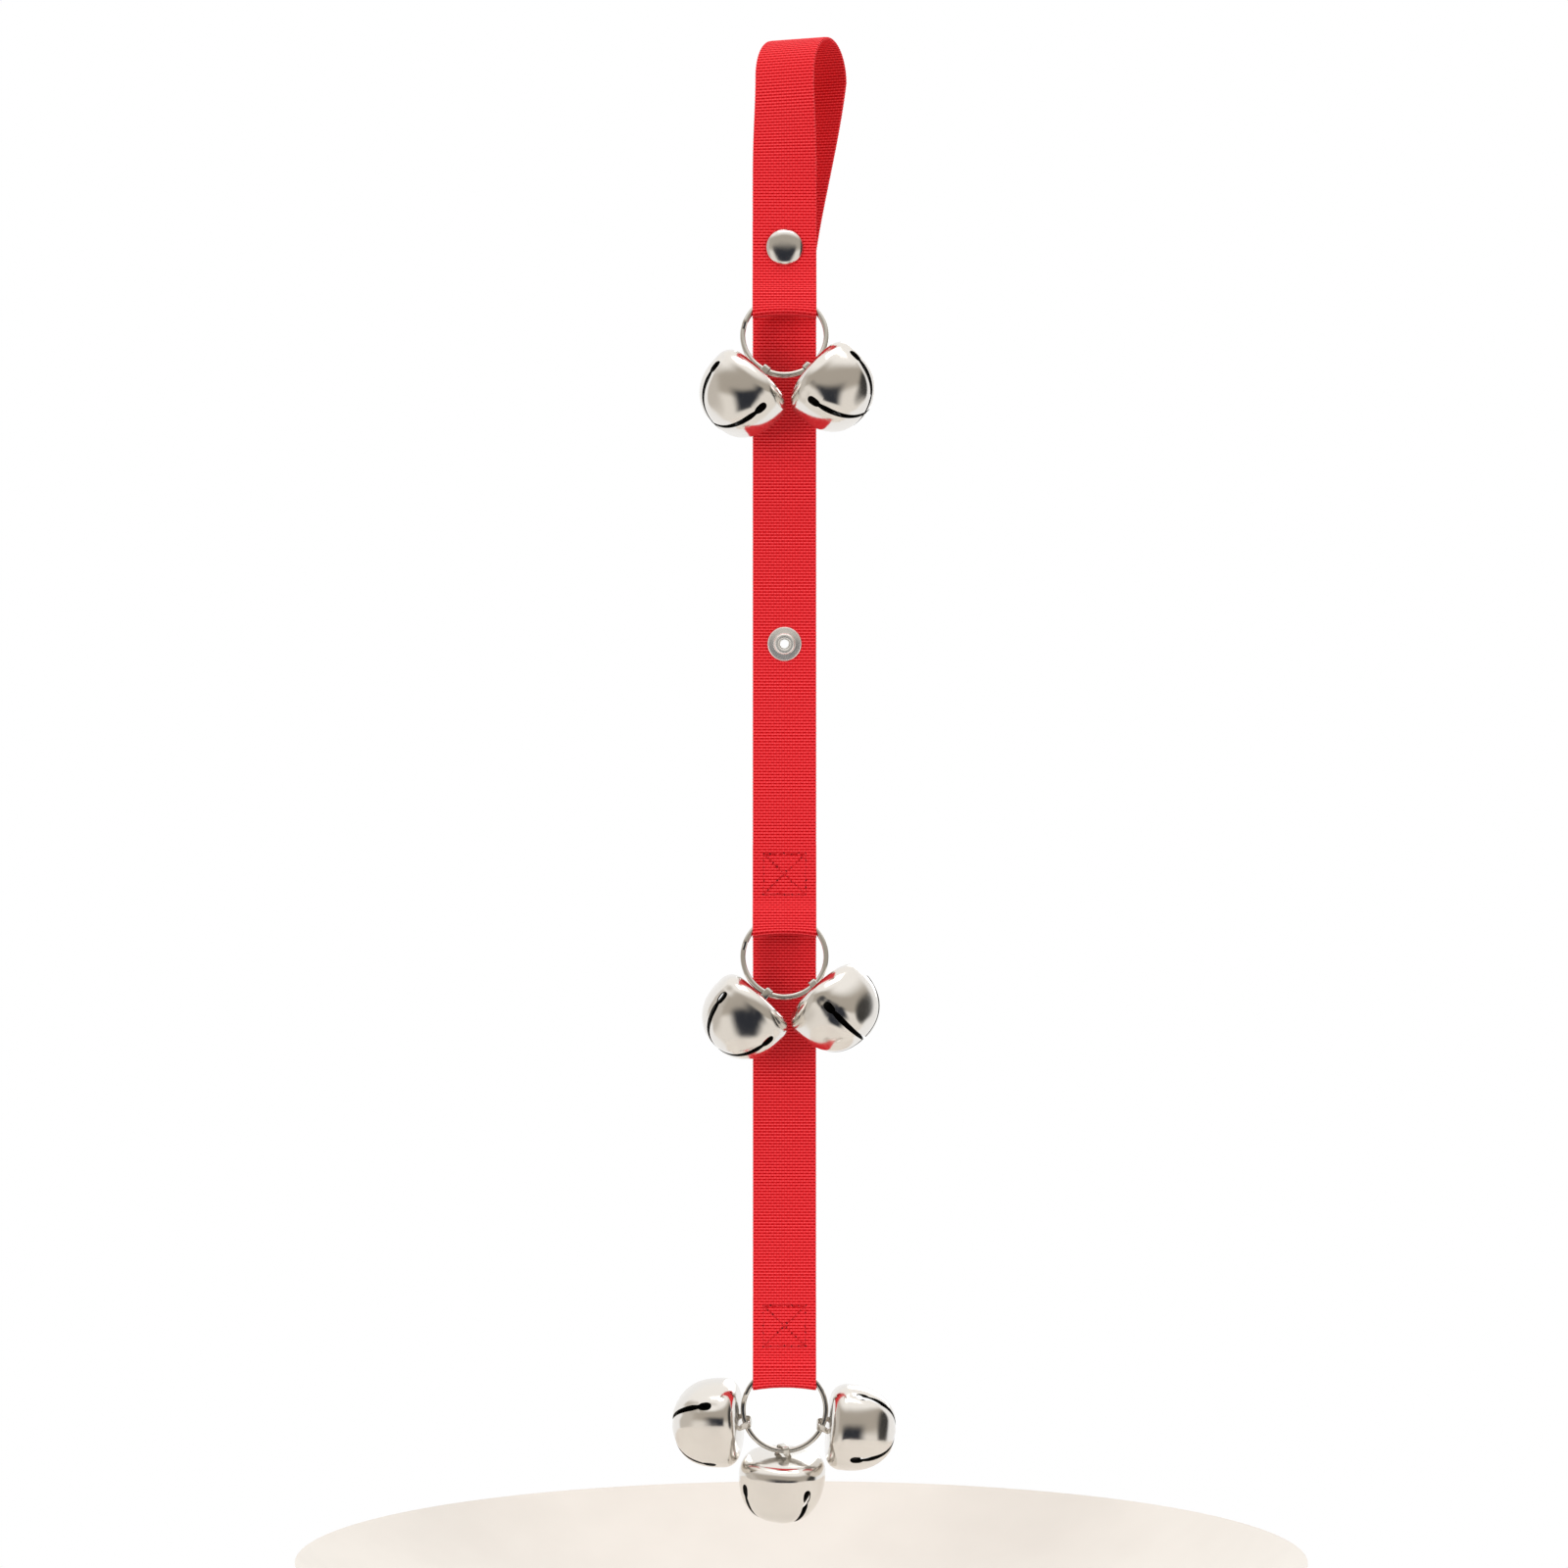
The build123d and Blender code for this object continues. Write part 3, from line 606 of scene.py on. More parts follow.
pocket = {
    "ringWidth": 35.0,
    "wire": 2.0,
    "ringThick": 2.66,
    "clear": 0.3,
    "taper": 3.5,
    "corner": 0.9,
    "arch": 1.1,        # the fold's middle is this much higher than its corners
    "archReach": 9.0,   # how far up from the fold it is arched
    "bend": 6.0,        # radius where the pocket leaves the strap
    "ease": 2.5,        # radius where it widens for the ring
    "flapReturn": 10.0,     # above the snap's middle, where the flap's turned-back layer ends
}


def pocketPiece(name, key, layerY, top, returnTop, start):
    # down the front, round under the wire and up behind, seen from the side, then carried across the width
    hinge = pocketHinge[key]
    front = ringFront[key]
    up = np.cross(front, (1.0, 0, 0))
    radius = (pocket["ringWidth"] - pocket["wire"]) / 2
    toCentre = math.sqrt(radius ** 2 - (web["width"] / 2) ** 2)
    length = float(np.dot(hinge - ringCentre[key], up)) - toCentre
    wireLow = toCentre - math.sqrt((radius - pocket["wire"] / 2) ** 2 - (web["width"] / 2) ** 2)
    near, wide = foldPitch / 2, pocket["ringThick"] / 2 + pocket["clear"] + web["thick"] / 2
    bottom = -length - wireLow - pocket["clear"] - web["thick"] / 2
    wideTop = -length + radius - toCentre + pocket["wire"] / 2 + pocket["clear"]
    nearEnd = wideTop + pocket["taper"]

    def local(h, v):
        return hinge + up * h + front * v

    frontBend = np.array([strapX, layerY, hinge[2]])
    backBend = np.array([strapX, layerY + foldPitch, hinge[2]])
    corners = [
        np.array([strapX, layerY, top]), frontBend,
        local(nearEnd, near), local(wideTop, wide), local(bottom, wide),
        local(bottom, -wide), local(wideTop, -wide), local(nearEnd, -near),
        backBend, np.array([strapX, layerY + foldPitch, returnTop]),
    ]
    tight = web["thick"] / 2 + pocket["corner"]
    bend, ease = pocket["bend"], pocket["ease"]
    path = filletPath(corners, [bend, ease, ease, tight, tight, ease, ease, bend], 0.1)

    def arched(verts, sideways):
        drop = (verts - hinge) @ up - bottom
        share = np.clip(1 - drop / pocket["archReach"], 0, 1) ** 2
        lift = pocket["arch"] * (1 - (2 * sideways / web["width"]) ** 2) * share
        return verts + lift[..., None] * up

    return webbingPiece(name, path, np.tile([1.0, 0, 0], (len(path), 1)), start, arched)[0]


flapReturn = snapZ + pocket["flapReturn"]
flapPocket = pocketPiece("flapPocket", "1", flapY, flapEnd, flapReturn, flapLength)
blendAt(flapPocket)
middlePocket = pocketPiece("middlePocket", "2", strapY, cut["middlePocket"], lowerTop, backLength)
blendAt(middlePocket)
lowerReturn = seamZ["3"] + seam["height"] / 2 + seam["rise"]
lowerPocket = pocketPiece("lowerPocket", "3", lowerStrapY, cut["lowerPocket"], lowerReturn, lowerLength)
blendAt(lowerPocket)
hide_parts("snap_flap")
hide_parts("knob_loop")
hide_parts("middle_strap")
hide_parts("ring_pocket_1", "snap_flap_return")
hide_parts("ring_pocket_2", "middle_strap_return")
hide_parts("lower_strap_head")
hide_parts("lower_strap")
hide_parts("ring_pocket_3", "lower_strap_return")
print("webbing ready")

# stitches

stitch = {
    "box": (16.8, 16.2),
    "length": 2.7,
    "wander": 0.09,      # how far a stitch end strays
    "thread": 0.52,      # half the thread's width
    "flat": 0.10,        # half its height
    "lift": 0.07,
    "dip": 0.24,         # how deep the ends go
    "hole": 0.36,
    "holeWander": 0.08,
    "holeRise": 0.08,
}


def stitchRuns():
    # a box and the two diagonals of it, as rows of stitch ends on the seam's face
    w, h = stitch["box"][0] / 2, stitch["box"][1] / 2
    corners = np.array([(-w, -h), (w, -h), (w, h), (-w, h)])
    lines = [(corners[i], corners[(i + 1) % 4]) for i in range(4)]
    lines += [(corners[0], corners[2]), (corners[1], corners[3])]
    ends = []
    for a, b in lines:
        count = int(round(np.linalg.norm(b - a) / stitch["length"]))
        share = np.arange(count)[:, None] / count
        ends.append(np.stack([a + share * (b - a), a + share * (b - a) + (b - a) / count], 1))
    return np.concatenate(ends)


def seamStitches(name, body, y, z, side, seed):
    # each stitch is a flat thread: a half-round section carried along a shallow arc that dips at both ends
    rng = np.random.default_rng(seed)
    ends = stitchRuns()
    ends = ends + rng.normal(0, stitch["wander"], ends.shape)
    alongCount, roundCount = 7, 6
    share = np.linspace(0, 1, alongCount)
    spine = ends[:, 0, None] + share[None, :, None] * (ends[:, 1] - ends[:, 0])[:, None]
    level = np.abs(unit(ends[:, 1] - ends[:, 0])[:, 0])
    size = stitch["thread"] * (0.45 + 0.55 * level ** 2) * rng.uniform(0.85, 1.12, len(ends))
    lift = stitch["lift"] * (1.3 * level ** 2 - 0.3) * rng.uniform(0.7, 1.1, len(ends))
    bow = (1 - (2 * share - 1) ** 4)[None] * (lift + stitch["dip"])[:, None] - stitch["dip"]
    taper = np.sqrt(np.clip(1 - (2 * share - 1) ** 6, 0, 1)) * 0.75 + 0.25
    direction = unit(ends[:, 1] - ends[:, 0])
    across = np.stack([-direction[:, 1], direction[:, 0]], 1)
    angle = np.linspace(0, 2 * math.pi, roundCount, endpoint=False)
    wide = (size[:, None, None] * taper[None, :, None]) * np.cos(angle)[None, None]
    flat = spine[:, :, None] + across[:, None, None] * wide[..., None]
    out = bow[:, :, None] + stitch["flat"] * taper[None, :, None] * np.sin(angle)[None, None]
    verts = np.stack([strapX + flat[..., 0], y + side * out, z + flat[..., 1]], -1).reshape(-1, 3)
    cap = np.array([(0, 1, 2, 3), (0, 3, 4, 5)])
    per = alongCount * roundCount
    one = np.concatenate([gridFaces(alongCount, roundCount, True), cap[:, ::-1], cap + per - roundCount])
    faces = (one[None] + (np.arange(len(ends)) * per)[:, None, None]).reshape(-1, 4)
    thread = makePiece(name, verts, faces, redThread)
    outward(thread)
    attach(thread, body)
    # needle holes: small dark dimples of painted shade at the stitch ends, no two alike
    spots = ends[:, 0] + rng.normal(0, stitch["holeWander"], (len(ends), 2))
    big = stitch["hole"] * rng.uniform(0.45, 1.15, len(spots))
    rings = np.array([0.0, 0.7, 1.0])
    depth = np.array([0.03, 0.02, -0.06])
    turn = np.linspace(0, 2 * math.pi, 8, endpoint=False)
    uneven = 1 + 0.25 * np.sin(2 * turn[None] + rng.uniform(0, 6, (len(spots), 1)))
    far = big[:, None, None] * rings[None, :, None] * uneven[:, None, :]
    points = np.stack([strapX + spots[:, 0, None, None] + far * np.cos(turn),
                       y + side * (depth[None, :, None] + stitch["holeRise"] + 0 * far),
                       z + spots[:, 1, None, None] + 1.3 * far * np.sin(turn)], -1)
    one = gridFaces(len(rings), len(turn), True)
    per = len(rings) * len(turn)
    faces = (one[None] + (np.arange(len(spots)) * per)[:, None, None]).reshape(-1, 4)
    holes = makePiece(name + "Holes", points.reshape(-1, 3), faces, paintedHoleShade, merge=0.001)
    outward(holes)
    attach(holes, body)


face = web["thick"] / 2 - 0.10
seamStitches("middleSeam", "middle_strap", strapY - face, seamZ["2"], -1, 3)
seamStitches("middleSeamBack", "middle_strap", seamBackY + face, seamZ["2"], 1, 4)
seamStitches("lowerSeam", "lower_strap", lowerStrapY - face, seamZ["3"], -1, 5)
seamStitches("lowerSeamBack", "lower_strap", lowerStrapY + foldPitch + face, seamZ["3"], 1, 6)
print("stitches ready")

# press snap

# profiles of radius and height, from the middle of the front round to the back
snap = {
    "cap": [(0, 2.42), (2.2, 2.38), (4.2, 2.16), (5.7, 1.76), (6.6, 1.26), (7.1, 0.8), (7.36, 0.45),
            (7.4, 0.22), (7.3, 0.04), (6.9, -0.05), (0, -0.05)],
    "socket": [(0, -0.75), (4.5, -0.8), (4.55, -3.35), (4.7, -3.5), (5.4, -3.5), (5.62, -3.3),
               (5.8, -2.2), (5.95, -1.0), (6.25, -0.8), (6.3, -0.5), (6.3, 0.0), (0, 0.0)],
    "stud": [(2.05, 2.5), (2.2, 2.72), (2.55, 2.9), (3.4, 2.9), (3.9, 2.72), (4.15, 2.35), (4.2, 1.95),
             (4.05, 1.4), (3.9, 0.85), (4.05, 0.62), (4.5, 0.52), (6.2, 0.5), (6.6, 0.42), (6.75, 0.25),
             (6.75, 0.05), (6.6, 0.0), (2.05, 0.0)],
    "eyelet": [(1.6, 2.95), (1.7, 4.1), (1.95, 4.2), (2.02, 4.0), (2.0, 0.1), (5.2, 0.0), (5.5, -0.2),
               (5.4, -0.42), (5.0, -0.5), (2.3, -0.5), (1.75, -0.35), (1.6, 0.0)],
}
toFront = np.array([0.0, -1.0, 0.0])


def snapPiece(name, profile, y, z, body, node, closed=False, material=snapNickel):
    points = list(snap[profile]) + ([snap[profile][0]] if closed else [])
    obj = revolve(name, points, np.array([strapX, y, z]), toFront, material, 96)
    softEdges(obj, 50)
    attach(obj, body)
    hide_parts(node)


halfWeb = web["thick"] / 2
snapPiece("snapCap", "cap", flapY - halfWeb, snapZ, "snap_flap", "snap_cap")
snapPiece("snapSocket", "socket", flapY + foldPitch + halfWeb, snapZ, "snap_flap", "snap_socket")
for name, z, body in (("upper", snapZ, "knob_loop"), ("lower", lowerStudZ, "middle_strap")):
    snapPiece(name + "Stud", "stud", strapY - halfWeb, z, body, f"{name}_stud", True, studTin)
    eyelet = f"{name}_stud_eyelet"
    snapPiece(name + "StudEyelet", "eyelet", strapY + halfWeb, z, body, eyelet, True, studTin)
print("snap ready")

# split rings

split = {
    "radius": 16.5,
    "wire": 2.0,
    "coil": 1.3,
    "gap": 0.06,
    "jogPlace": 165.0,
    "jogHalf": 7.0,
}


def splitRing(name, key):
    # a half-round wire section carried round twice; at the jog the wire steps from the front coil to
    # the back one
    front, centre = ringFront[key], ringCentre[key]
    right = np.array([1.0, 0, 0])
    up = np.cross(front, right)
    turns = np.radians(np.linspace(split["jogHalf"], 720 - split["jogHalf"], 500))
    offset = (split["coil"] + split["gap"]) / 2
    jog = np.clip((np.degrees(turns) - 360 + split["jogHalf"]) / (2 * split["jogHalf"]), 0, 1)
    level = offset * (1 - 2 * jog * jog * (3 - 2 * jog))
    angle = turns + math.radians(split["jogPlace"])
    radial = np.cos(angle)[:, None] * right + np.sin(angle)[:, None] * up
    # section: flat where the coils meet, rounded outside
    corner = np.linspace(0, 2 * math.pi, 28, endpoint=False)
    w, h = split["wire"] / 2, split["coil"] / 2
    a = w * np.sign(np.cos(corner)) * np.abs(np.cos(corner)) ** 0.9
    b = h * np.sign(np.sin(corner)) * np.abs(np.sin(corner)) ** 0.8
    verts = centre + radial[:, None] * (split["radius"] + a)[None, :, None]
    verts = verts + front * (level[:, None] + b[None])[..., None]
    obj = makePiece(name, verts.reshape(-1, 3), tubeFaces(len(turns), len(corner)), ringNickel)
    outward(obj)
    softEdges(obj, 55)
    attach(obj, f"ring_{key}")
    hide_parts(f"ring_{key}")


for key in "123":
    splitRing(f"splitRing{key}", key)
print("rings ready")

# bells

bell = {
    "radius": 17.8,
    "height": 27.0,
    "belt": 8.0,
    "shoulder": 6.0,
    "wall": 0.6,
    "fullness": 0.62,
    "crownDome": 0.35,
    "flatness": 0.030,      # of a petal between two slots, as a share of the radius
    "crease": 0.34,         # depth of the dent above a keyhole
    "creaseWide": 1.7,
    "curl": 0.30,           # how far a slot's edges are pressed in
    "curlWide": 1.6,
    "wave": 0.045,          # unevenness of the sheet
    "rim": 0.12,
    "keyStart": 0.6,        # along the surface, below the belt
    "keyLength": 5.6,
    "keyHalf": 1.70,
    "neckHalf": 0.84,
    "slotHalf": 1.22,
    "endHalf": 0.85,
    "hangerDrop": 2.4,
}
petalTurn = {"1_left": -1, "1_right": 2, "2_left": -13, "2_right": -30, "3_left": -16, "3_bottom": 10,
             "3_right": -7}


def bellProfile():
    # radius and depth along the surface from the crown's middle to the pole
    flat = bell["radius"] - bell["shoulder"]
    r1 = np.linspace(0, flat, 200)
    z1 = -bell["crownDome"] * (1 - (r1 / flat) ** 2)
    turn = np.linspace(0, math.pi / 2, 200)
    r2 = flat + bell["shoulder"] * np.sin(turn)
    z2 = bell["shoulder"] * (1 - np.cos(turn))
    t = np.linspace(0, 1, 900)
    q = 1 - t
    k = bell["fullness"]
    deep = bell["height"] - bell["belt"]
    r3 = bell["radius"] * (q ** 3 + 3 * q ** 2 * t + 3 * q * t ** 2 * k)
    z3 = bell["belt"] + deep * (t ** 3 + 3 * q * t ** 2 + 3 * q ** 2 * t * k)
    r = np.concatenate([r1, r2[1:], r3])
    z = np.concatenate([z1, z2[1:], z3])
    s = np.concatenate([[0], np.cumsum(np.hypot(np.diff(r), np.diff(z)))])
    beltAt = s[len(r1) + len(r2) - 1]
    return s, r, z, beltAt


def slotHalfWidth(below):
    # keyhole: an egg-shaped head, a narrow neck, then a slot that opens and closes a little again
    # towards the mouth
    length = bell["keyLength"]
    x = np.clip(below / length, 0, 1)
    head = bell["keyHalf"] * np.clip(1 - np.abs(2 * x - 1) ** 2.5, 0, 1) ** 0.45 * (1.06 - 0.16 * x)
    run = np.clip((below - length * 0.80) / 4.0, 0, 1)
    slot = bell["neckHalf"] + (bell["slotHalf"] - bell["neckHalf"]) * run * run * (3 - 2 * run)
    slot = slot - (bell["slotHalf"] - bell["endHalf"]) * np.clip((below - 9.0) / 12.0, 0, 1)
    return np.where(below <= 0, 0.0, np.where(below < length * 0.80, head, np.maximum(head, slot)))


def bellSurface(turnDegrees, seed):
    # four petals, each a grid of rows along the surface and columns between two slots
    s, r, z, beltAt = bellProfile()
    keyAt = beltAt + bell["keyStart"]
    keyEnd = keyAt + bell["keyLength"]
    tip = bell["endHalf"] / math.sin(math.pi / 4) * 1.02
    endAt = float(np.interp(-tip, -r[700:], s[700:]))
    flat = bell["radius"] - bell["shoulder"]
    crownRows = np.linspace(0, flat - 0.3, 12)
    shoulderRows = np.linspace(flat, beltAt, 20)
    bodyRows = np.linspace(beltAt, keyAt, 6)[1:]
    bump = (1 - np.cos(np.linspace(0, math.pi, 30))) / 2
    headRows = keyAt + bell["keyLength"] * bump
    lowRows = np.linspace(keyEnd, endAt, 40)[1:]
    rows = np.concatenate([crownRows, shoulderRows[1:], bodyRows, headRows[1:], lowRows])
    radius, depth = np.interp(rows, s, r), np.interp(rows, s, z)
    dr, dz = np.gradient(radius, rows), np.gradient(depth, rows)
    size = np.hypot(dr, dz)
    outR, outZ = dz / size, -dr / size
    half = slotHalfWidth(rows - keyAt)
    delta = np.arcsin(np.clip(half / np.maximum(radius, 1e-6), 0, math.sin(math.pi / 4)))
    cols = 33
    share = np.linspace(0, 1, cols)
    share = share - 0.06 * np.sin(2 * math.pi * share)
    petals = np.arange(4)[:, None, None] * math.pi / 2
    wide = math.pi / 2 - 2 * delta
    base = math.radians(45 + turnDegrees)
    phi = base + petals + delta[None, :, None] + wide[None, :, None] * share[None, None]
    # distance from the nearest slot's middle line, along the surface
    inPetal = phi - base - petals
    near = np.minimum(inPetal, math.pi / 2 - inPetal) * radius[None, :, None]
    below = (rows - beltAt)[None, :, None]
    fade = np.clip((below + 3.5) / 3.0, 0, 1)
    fade = fade * np.clip(1 - (below - bell["keyStart"] - 1.0) / 3.0, 0, 1)
    crease = -bell["crease"] * np.exp(-(near / bell["creaseWide"]) ** 2) * fade
    lower = np.clip((rows - keyAt) / 6.0, 0, 1)[None, :, None]
    curl = -bell["curl"] * np.exp(-((near - half[None, :, None]) / bell["curlWide"]) ** 2) * lower
    rng = np.random.default_rng(seed)
    wave = 0 * phi
    for order in (2, 3, 5):
        p, q = rng.uniform(0, 2 * math.pi, 2)
        ripple = np.sin(rows[None, :, None] / (7.0 - order * 0.6) + q)
        wave = wave + bell["wave"] * np.sin(order * phi + p) * ripple
    wave = wave * np.clip((rows - 6) / 8, 0, 1)[None, :, None]
    wave = wave * np.clip((endAt - rows) / 6, 0, 1)[None, :, None]
    # between two slots a petal is flatter than a round bowl
    body = np.clip((rows - flat) / 7.0, 0, 1) * np.clip((endAt - rows) / 9.0, 0, 1)
    flatter = np.cos(4 * (inPetal - math.pi / 4)) + 0.35
    flatter = -bell["flatness"] * flatter * (body * radius)[None, :, None]
    push = crease + curl + wave + flatter
    rr = radius[None, :, None] + outR[None, :, None] * push
    zz = depth[None, :, None] + outZ[None, :, None] * push
    verts = np.stack([rr * np.cos(phi), rr * np.sin(phi), zz + 0 * phi], -1)
    one = gridFaces(len(rows), cols)
    per = len(rows) * cols
    faces = (one[None] + (np.arange(4) * per)[:, None, None]).reshape(-1, 4)
    return verts.reshape(-1, 3), faces


def bellFrame(key):
    # the wire's point, the bell's axis from crown to mouth, and the crown's direction along the ring
    wire = jointPlace(f"bell_{key}_swing")
    axis = unit(jointPlace(f"bell_{key}_ball_roll") - wire)
    along = unit(np.cross(ringFront[key[0]], axis))
    return wire, axis, along, np.cross(axis, along)


def placed(points, key):
    wire, axis, along, across = bellFrame(key)
    crown = wire + axis * bell["hangerDrop"]
    return crown + points[:, :1] * along + points[:, 1:2] * across + points[:, 2:] * axis


def makeBell(key, seed):
    verts, faces = bellSurface(petalTurn[key], seed)
    obj = makePiece(f"bell_{key}", placed(verts, key), faces, bellNickel, merge=0.004)
    outward(obj)
    wall = obj.modifiers.new("wall", "SOLIDIFY")
    wall.thickness = bell["wall"] * mm
    wall.offset = -1
    wall.use_quality_normals = True
    # painted shade: the inside and the slots' cut walls take the near-black inside metal
    obj.data.materials.append(bellInsideShade)
    wall.material_offset = 1
    wall.material_offset_rim = 1
    rim = obj.modifiers.new("rim", "BEVEL")
    rim.width = bell["rim"] * mm
    rim.segments = 2
    rim.limit_method = "ANGLE"
    rim.angle_limit = math.radians(50)
    rim.harden_normals = True
    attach(obj, f"bell_{key}")
    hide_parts(f"bell_{key}_shell")


hanger = {
    "over": {"1": 2.0, "2": 2.05, "3": 2.2},    # from the wire's middle to the strip over it
    "near": {"1": 2.2, "2": 2.2, "3": 2.4},     # half the strip's span over the wire
    "span": {"1": 2.6, "2": 2.6, "3": 3.4},     # half its span at the crown
    "wide": 1.4,
    "thick": 0.28,
    "foot": 2.0,
    "footBend": 0.5,
    "topBend": 1.5,
}
hangerTurn = {"1_left": 14, "1_right": -14, "2_left": 14, "2_right": -10, "3_left": 44, "3_bottom": 52,
              "3_right": -44}


def makeHanger(key):
    # a flat strip with round edges carried over the wire, with feet under the crown
    ring = key[0]
    leg, near, foot = hanger["span"][ring], hanger["near"][ring], bell["wall"] + hanger["thick"]
    top = -bell["hangerDrop"] - hanger["over"][ring]
    toe = leg + hanger["foot"]
    corners = [(0, -toe, foot), (0, -leg, foot), (0, -near, top), (0, near, top), (0, leg, foot),
               (0, toe, foot)]
    foldBend, topBend = hanger["footBend"], hanger["topBend"]
    path = filletPath(corners, [foldBend, topBend, topBend, foldBend], 0.08)
    spine = evenSteps(path, 0.16)[1]
    tangent = unit(np.gradient(spine, axis=0))
    wide = np.array([1.0, 0, 0])
    normal = np.cross(tangent, wide)
    turn = np.linspace(0, 2 * math.pi, 24, endpoint=False)
    a = hanger["wide"] * np.sign(np.cos(turn)) * np.abs(np.cos(turn)) ** 0.30
    b = hanger["thick"] * np.sign(np.sin(turn)) * np.abs(np.sin(turn)) ** 0.55
    verts = spine[:, None] + a[None, :, None] * wide + b[None, :, None] * normal[:, None]
    # the strip stands askew: turned about the bell's axis, less over the wire than at the crown
    rise = np.clip(-verts[..., 2] / bell["hangerDrop"], 0, 1)
    askew = np.radians(-hangerTurn[key]) * (1 - 0.42 * rise * rise * (3 - 2 * rise))
    x, y = verts[..., 0].copy(), verts[..., 1].copy()
    verts[..., 0] = x * np.cos(askew) - y * np.sin(askew)
    verts[..., 1] = x * np.sin(askew) + y * np.cos(askew)
    points = placed(verts.reshape(-1, 3), key)
    obj = makePiece(f"hanger_{key}", points, tubeFaces(len(spine), len(turn)), ringNickel)
    outward(obj)
    softEdges(obj, 50)
    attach(obj, f"bell_{key}")
    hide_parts(f"bell_{key}_hanger")


ball = {"radius": 3.8}


def makeBall(key):
    low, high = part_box(f"bell_{key}_ball")
    centre = (np.array(low) + np.array(high)) / 2 / mm
    t = np.linspace(0, math.pi, 25)
    profile = ball["radius"] * np.stack([np.sin(t), -np.cos(t)], 1)
    obj = revolve(f"ball_{key}", profile, centre, (0, 0, 1), ballSteel, 40)
    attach(obj, f"bell_{key}_ball")
    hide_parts(f"bell_{key}_ball")


for seed, key in enumerate(petalTurn):
    makeBell(key, seed + 11)
    makeHanger(key)
    makeBall(key)
print("bells ready")

# studio

middle = (np.array(cadLow) + np.array(cadHigh)) / 2

studio = {
    "frameHeight": 0.622,     # metres of the object that the picture's height spans
    "distance": 1.9,
    "floor": -0.63,
    "floorRadius": 0.2,
    "floorRise": 0.045,
    "upperTone": (0.46, 0.42, 0.365),
    "lowerTone": (0.88, 0.84, 0.785),
    "panelTone": (0.030, 0.033, 0.042),
    "leftTone": (0.62, 0.58, 0.53),
    "rightTone": (0.05, 0.048, 0.045),
    "backTone": (1.0, 1.0, 1.0),
    "ceilingTone": (1.05, 1.03, 1.0),
    # where each tone begins and is full, by the direction's parts from -1 to 1
    "horizon": (0.06, -0.16),
    "panelTaper": 0.16,
    "panelSide": (0.62, 0.30),
    "panelTop": (0.24, 0.02),
    "panelFoot": (-0.80, -0.60),
    "leftEdge": (-0.72, -0.92),
    "rightEdge": (0.84, 0.95),
    "backEdge": (0.12, 0.34),
    "ceilingEdge": (0.50, 0.78),
    "key": 19,
    "fill": 10,
    "top": 3.5,
    "back": 6,
}


def areaLight(name, place, target, size, power, colour=(1, 1, 1)):
    data = bpy.data.lights.new(name, "AREA")
    data.shape = "RECTANGLE"
    data.size, data.size_y = size
    data.energy = power
    data.color = colour
    obj = bpy.data.objects.new(name, data)
    bpy.context.scene.collection.objects.link(obj)
    obj.location = place
    away = np.array(place, float) - np.array(target, float)
    obj.rotation_euler = Vector(away).to_track_quat("Z", "Y").to_euler()
    return obj


def makeFloor():
    # a round pale floor that sweeps up towards its rim: the rise grows with the fourth power of the radius
    share = np.linspace(0, 1, 24)
    angle = np.linspace(0, 2 * math.pi, 96, endpoint=False)
    s, t = np.meshgrid(share, angle, indexing="ij")
    r = s * studio["floorRadius"]
    height = studio["floor"] + studio["floorRise"] * s ** 4
    verts = np.stack([r * np.cos(t), r * np.sin(t), height], -1) / mm
    material = bpy.data.materials.new("paleFloor")
    tree, shader = nodesOf(material)
    coord = tree.nodes.new("ShaderNodeTexCoord")
    grain = noise(tree, coord.outputs["Object"], 40)
    tone = tree.nodes.new("ShaderNodeValToRGB")
    tone.color_ramp.elements[0].color = (0.76, 0.73, 0.69, 1)
    tone.color_ramp.elements[1].color = (0.82, 0.79, 0.75, 1)
    tree.links.new(grain, tone.inputs["Fac"])
    tree.links.new(tone.outputs["Color"], shader.inputs["Base Color"])
    shader.inputs["Roughness"].default_value = 0.8
    ground = makePiece("floor", verts.reshape(-1, 3), gridFaces(24, 96, True), material, merge=0.01)


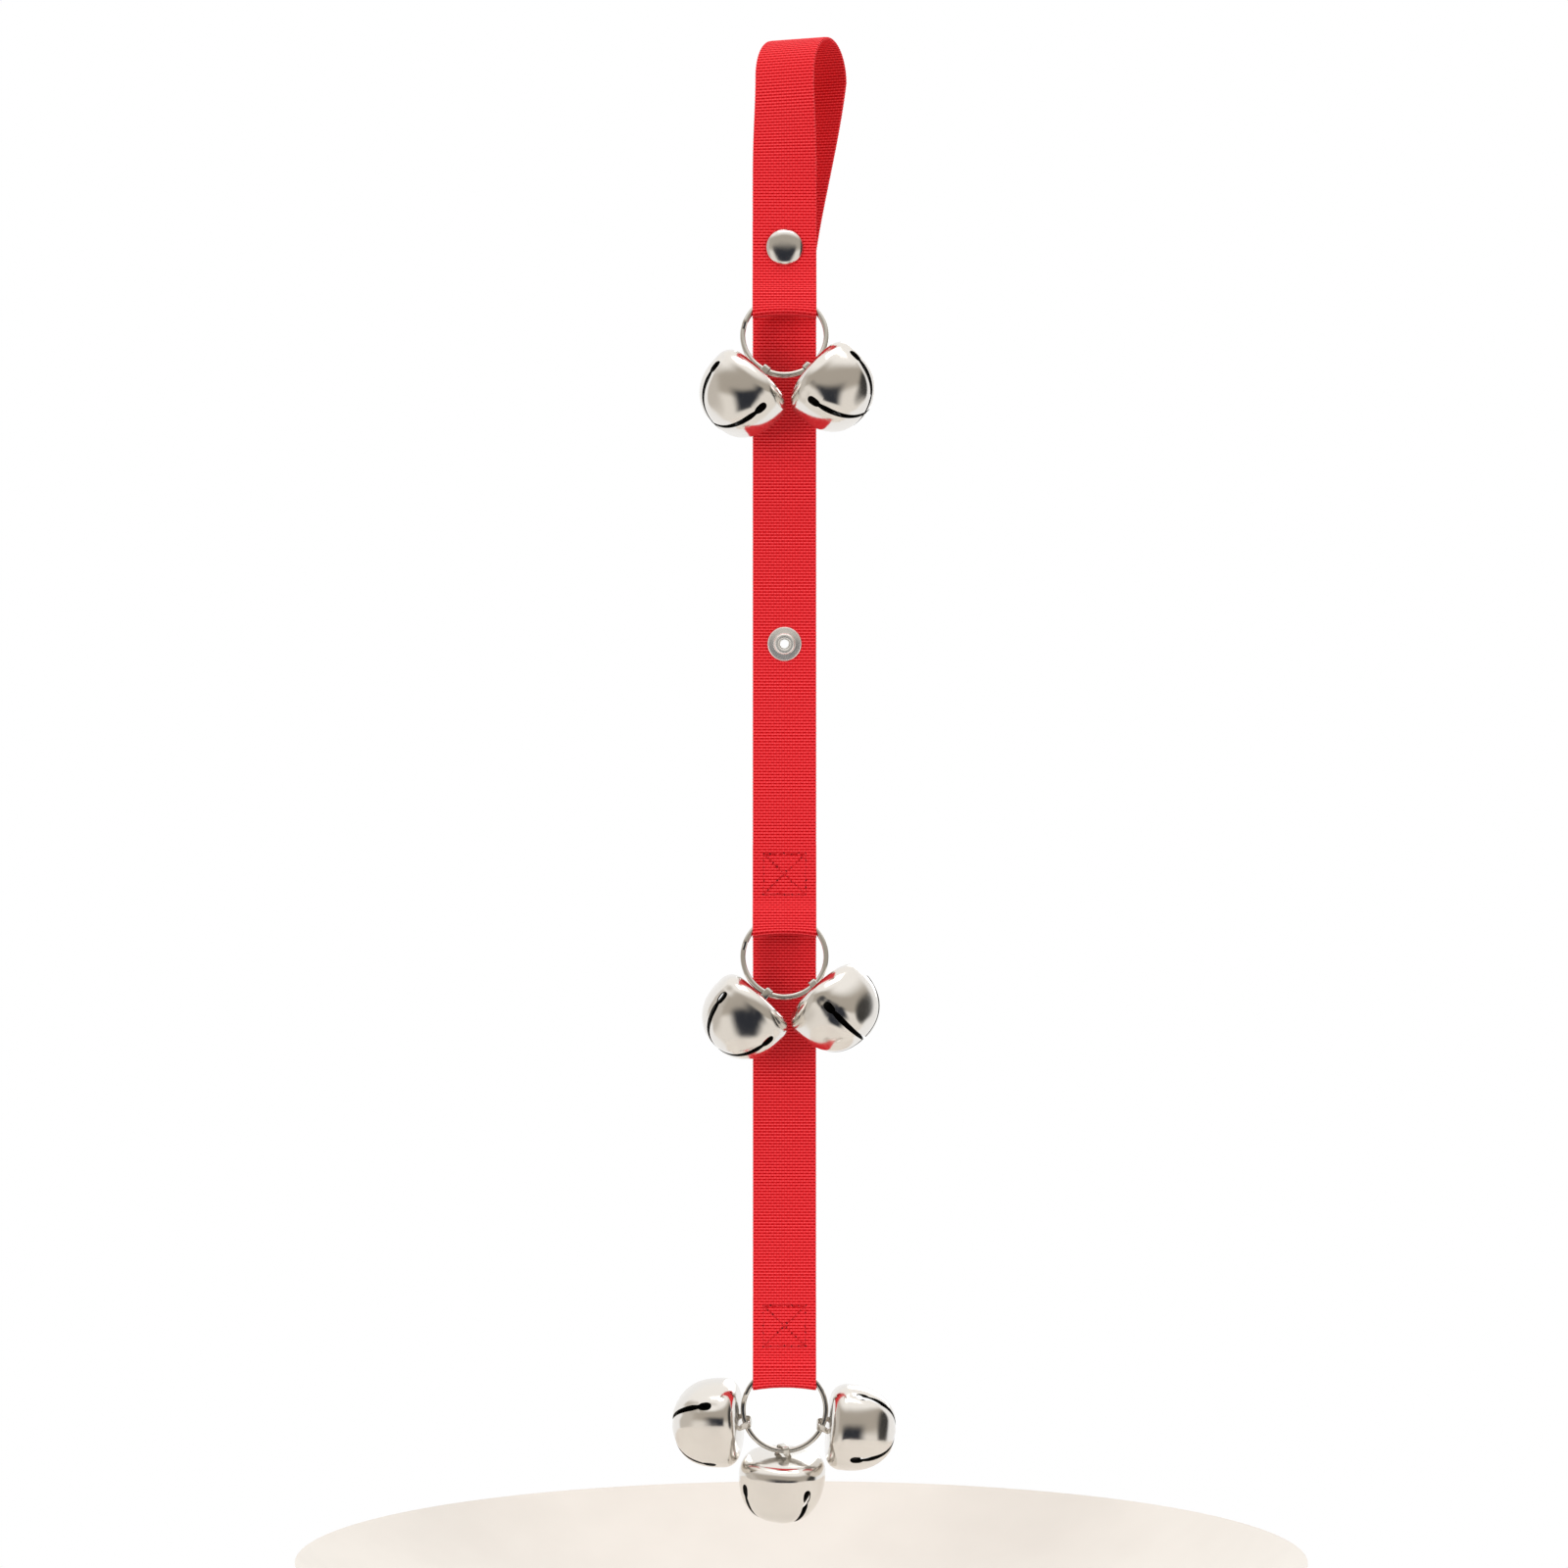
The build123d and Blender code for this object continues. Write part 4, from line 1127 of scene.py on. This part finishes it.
def makeWorld():
    # what the metal mirrors: a dim warm room above eye level in front, a bright lower part with one dark
    # panel in its middle, a dark right side, a white sweep behind and a bright ceiling
    world = bpy.data.worlds.new("studioWorld")
    bpy.context.scene.world = world
    world.use_nodes = True
    tree = world.node_tree
    n, link = tree.nodes, tree.links
    n.clear()
    coord = n.new("ShaderNodeTexCoord")
    part = n.new("ShaderNodeSeparateXYZ")
    link.new(coord.outputs["Generated"], part.inputs[0])
    x, y, z = part.outputs
    room = over(tree, studio["upperTone"], studio["lowerTone"], smoothStep(tree, z, *studio["horizon"]))
    side = maths(tree, "ABSOLUTE", x, 0)
    tapered = maths(tree, "SUBTRACT", side, maths(tree, "MULTIPLY", z, studio["panelTaper"]))
    panel = smoothStep(tree, tapered, *studio["panelSide"])
    panel = maths(tree, "MULTIPLY", panel, smoothStep(tree, z, *studio["panelTop"]))
    panel = maths(tree, "MULTIPLY", panel, smoothStep(tree, z, *studio["panelFoot"]))
    room = over(tree, room, studio["panelTone"], panel)
    for name, way in (("left", x), ("right", x), ("back", y), ("ceiling", z)):
        room = over(tree, room, studio[name + "Tone"], smoothStep(tree, way, *studio[name + "Edge"]))
    around = n.new("ShaderNodeBackground")
    link.new(room, around.inputs["Color"])
    seen = n.new("ShaderNodeBackground")
    seen.inputs["Color"].default_value = (1, 1, 1, 1)
    path = n.new("ShaderNodeLightPath")
    mix = n.new("ShaderNodeMixShader")
    link.new(path.outputs["Is Camera Ray"], mix.inputs[0])
    link.new(around.outputs[0], mix.inputs[1])
    link.new(seen.outputs[0], mix.inputs[2])
    out = n.new("ShaderNodeOutputWorld")
    link.new(mix.outputs[0], out.inputs["Surface"])


def makeCamera():
    data = bpy.data.cameras.new("camera")
    data.sensor_width = 36
    data.lens = 36 * studio["distance"] / studio["frameHeight"]
    data.clip_start, data.clip_end = 0.01, 50
    camera = bpy.data.objects.new("camera", data)
    bpy.context.scene.collection.objects.link(camera)
    camera.location = (middle[0], middle[1] - studio["distance"], middle[2])
    camera.rotation_euler = (math.pi / 2, 0, 0)
    bpy.context.scene.camera = camera


def makeStudio():
    makeFloor()
    aim = tuple(float(v) for v in middle)
    key = areaLight("keyLight", (-1.3, -1.8, 0.1), aim, (0.9, 1.3), studio["key"])
    fill = areaLight("fillLight", (1.6, -1.3, -0.1), aim, (0.7, 1.4), studio["fill"], (1.0, 0.97, 0.93))
    areaLight("topLight", (0.1, -0.3, 1.3), aim, (1.2, 0.8), studio["top"])
    areaLight("backLight", (0.6, 1.4, 0.3), aim, (1.0, 1.0), studio["back"])
    for light in (key, fill):  # the painted room stands for their mirror images
        light.visible_glossy = False
    makeWorld()
    makeCamera()
    bpy.context.scene.view_settings.view_transform = "Standard"


makeStudio()
print("studio ready")
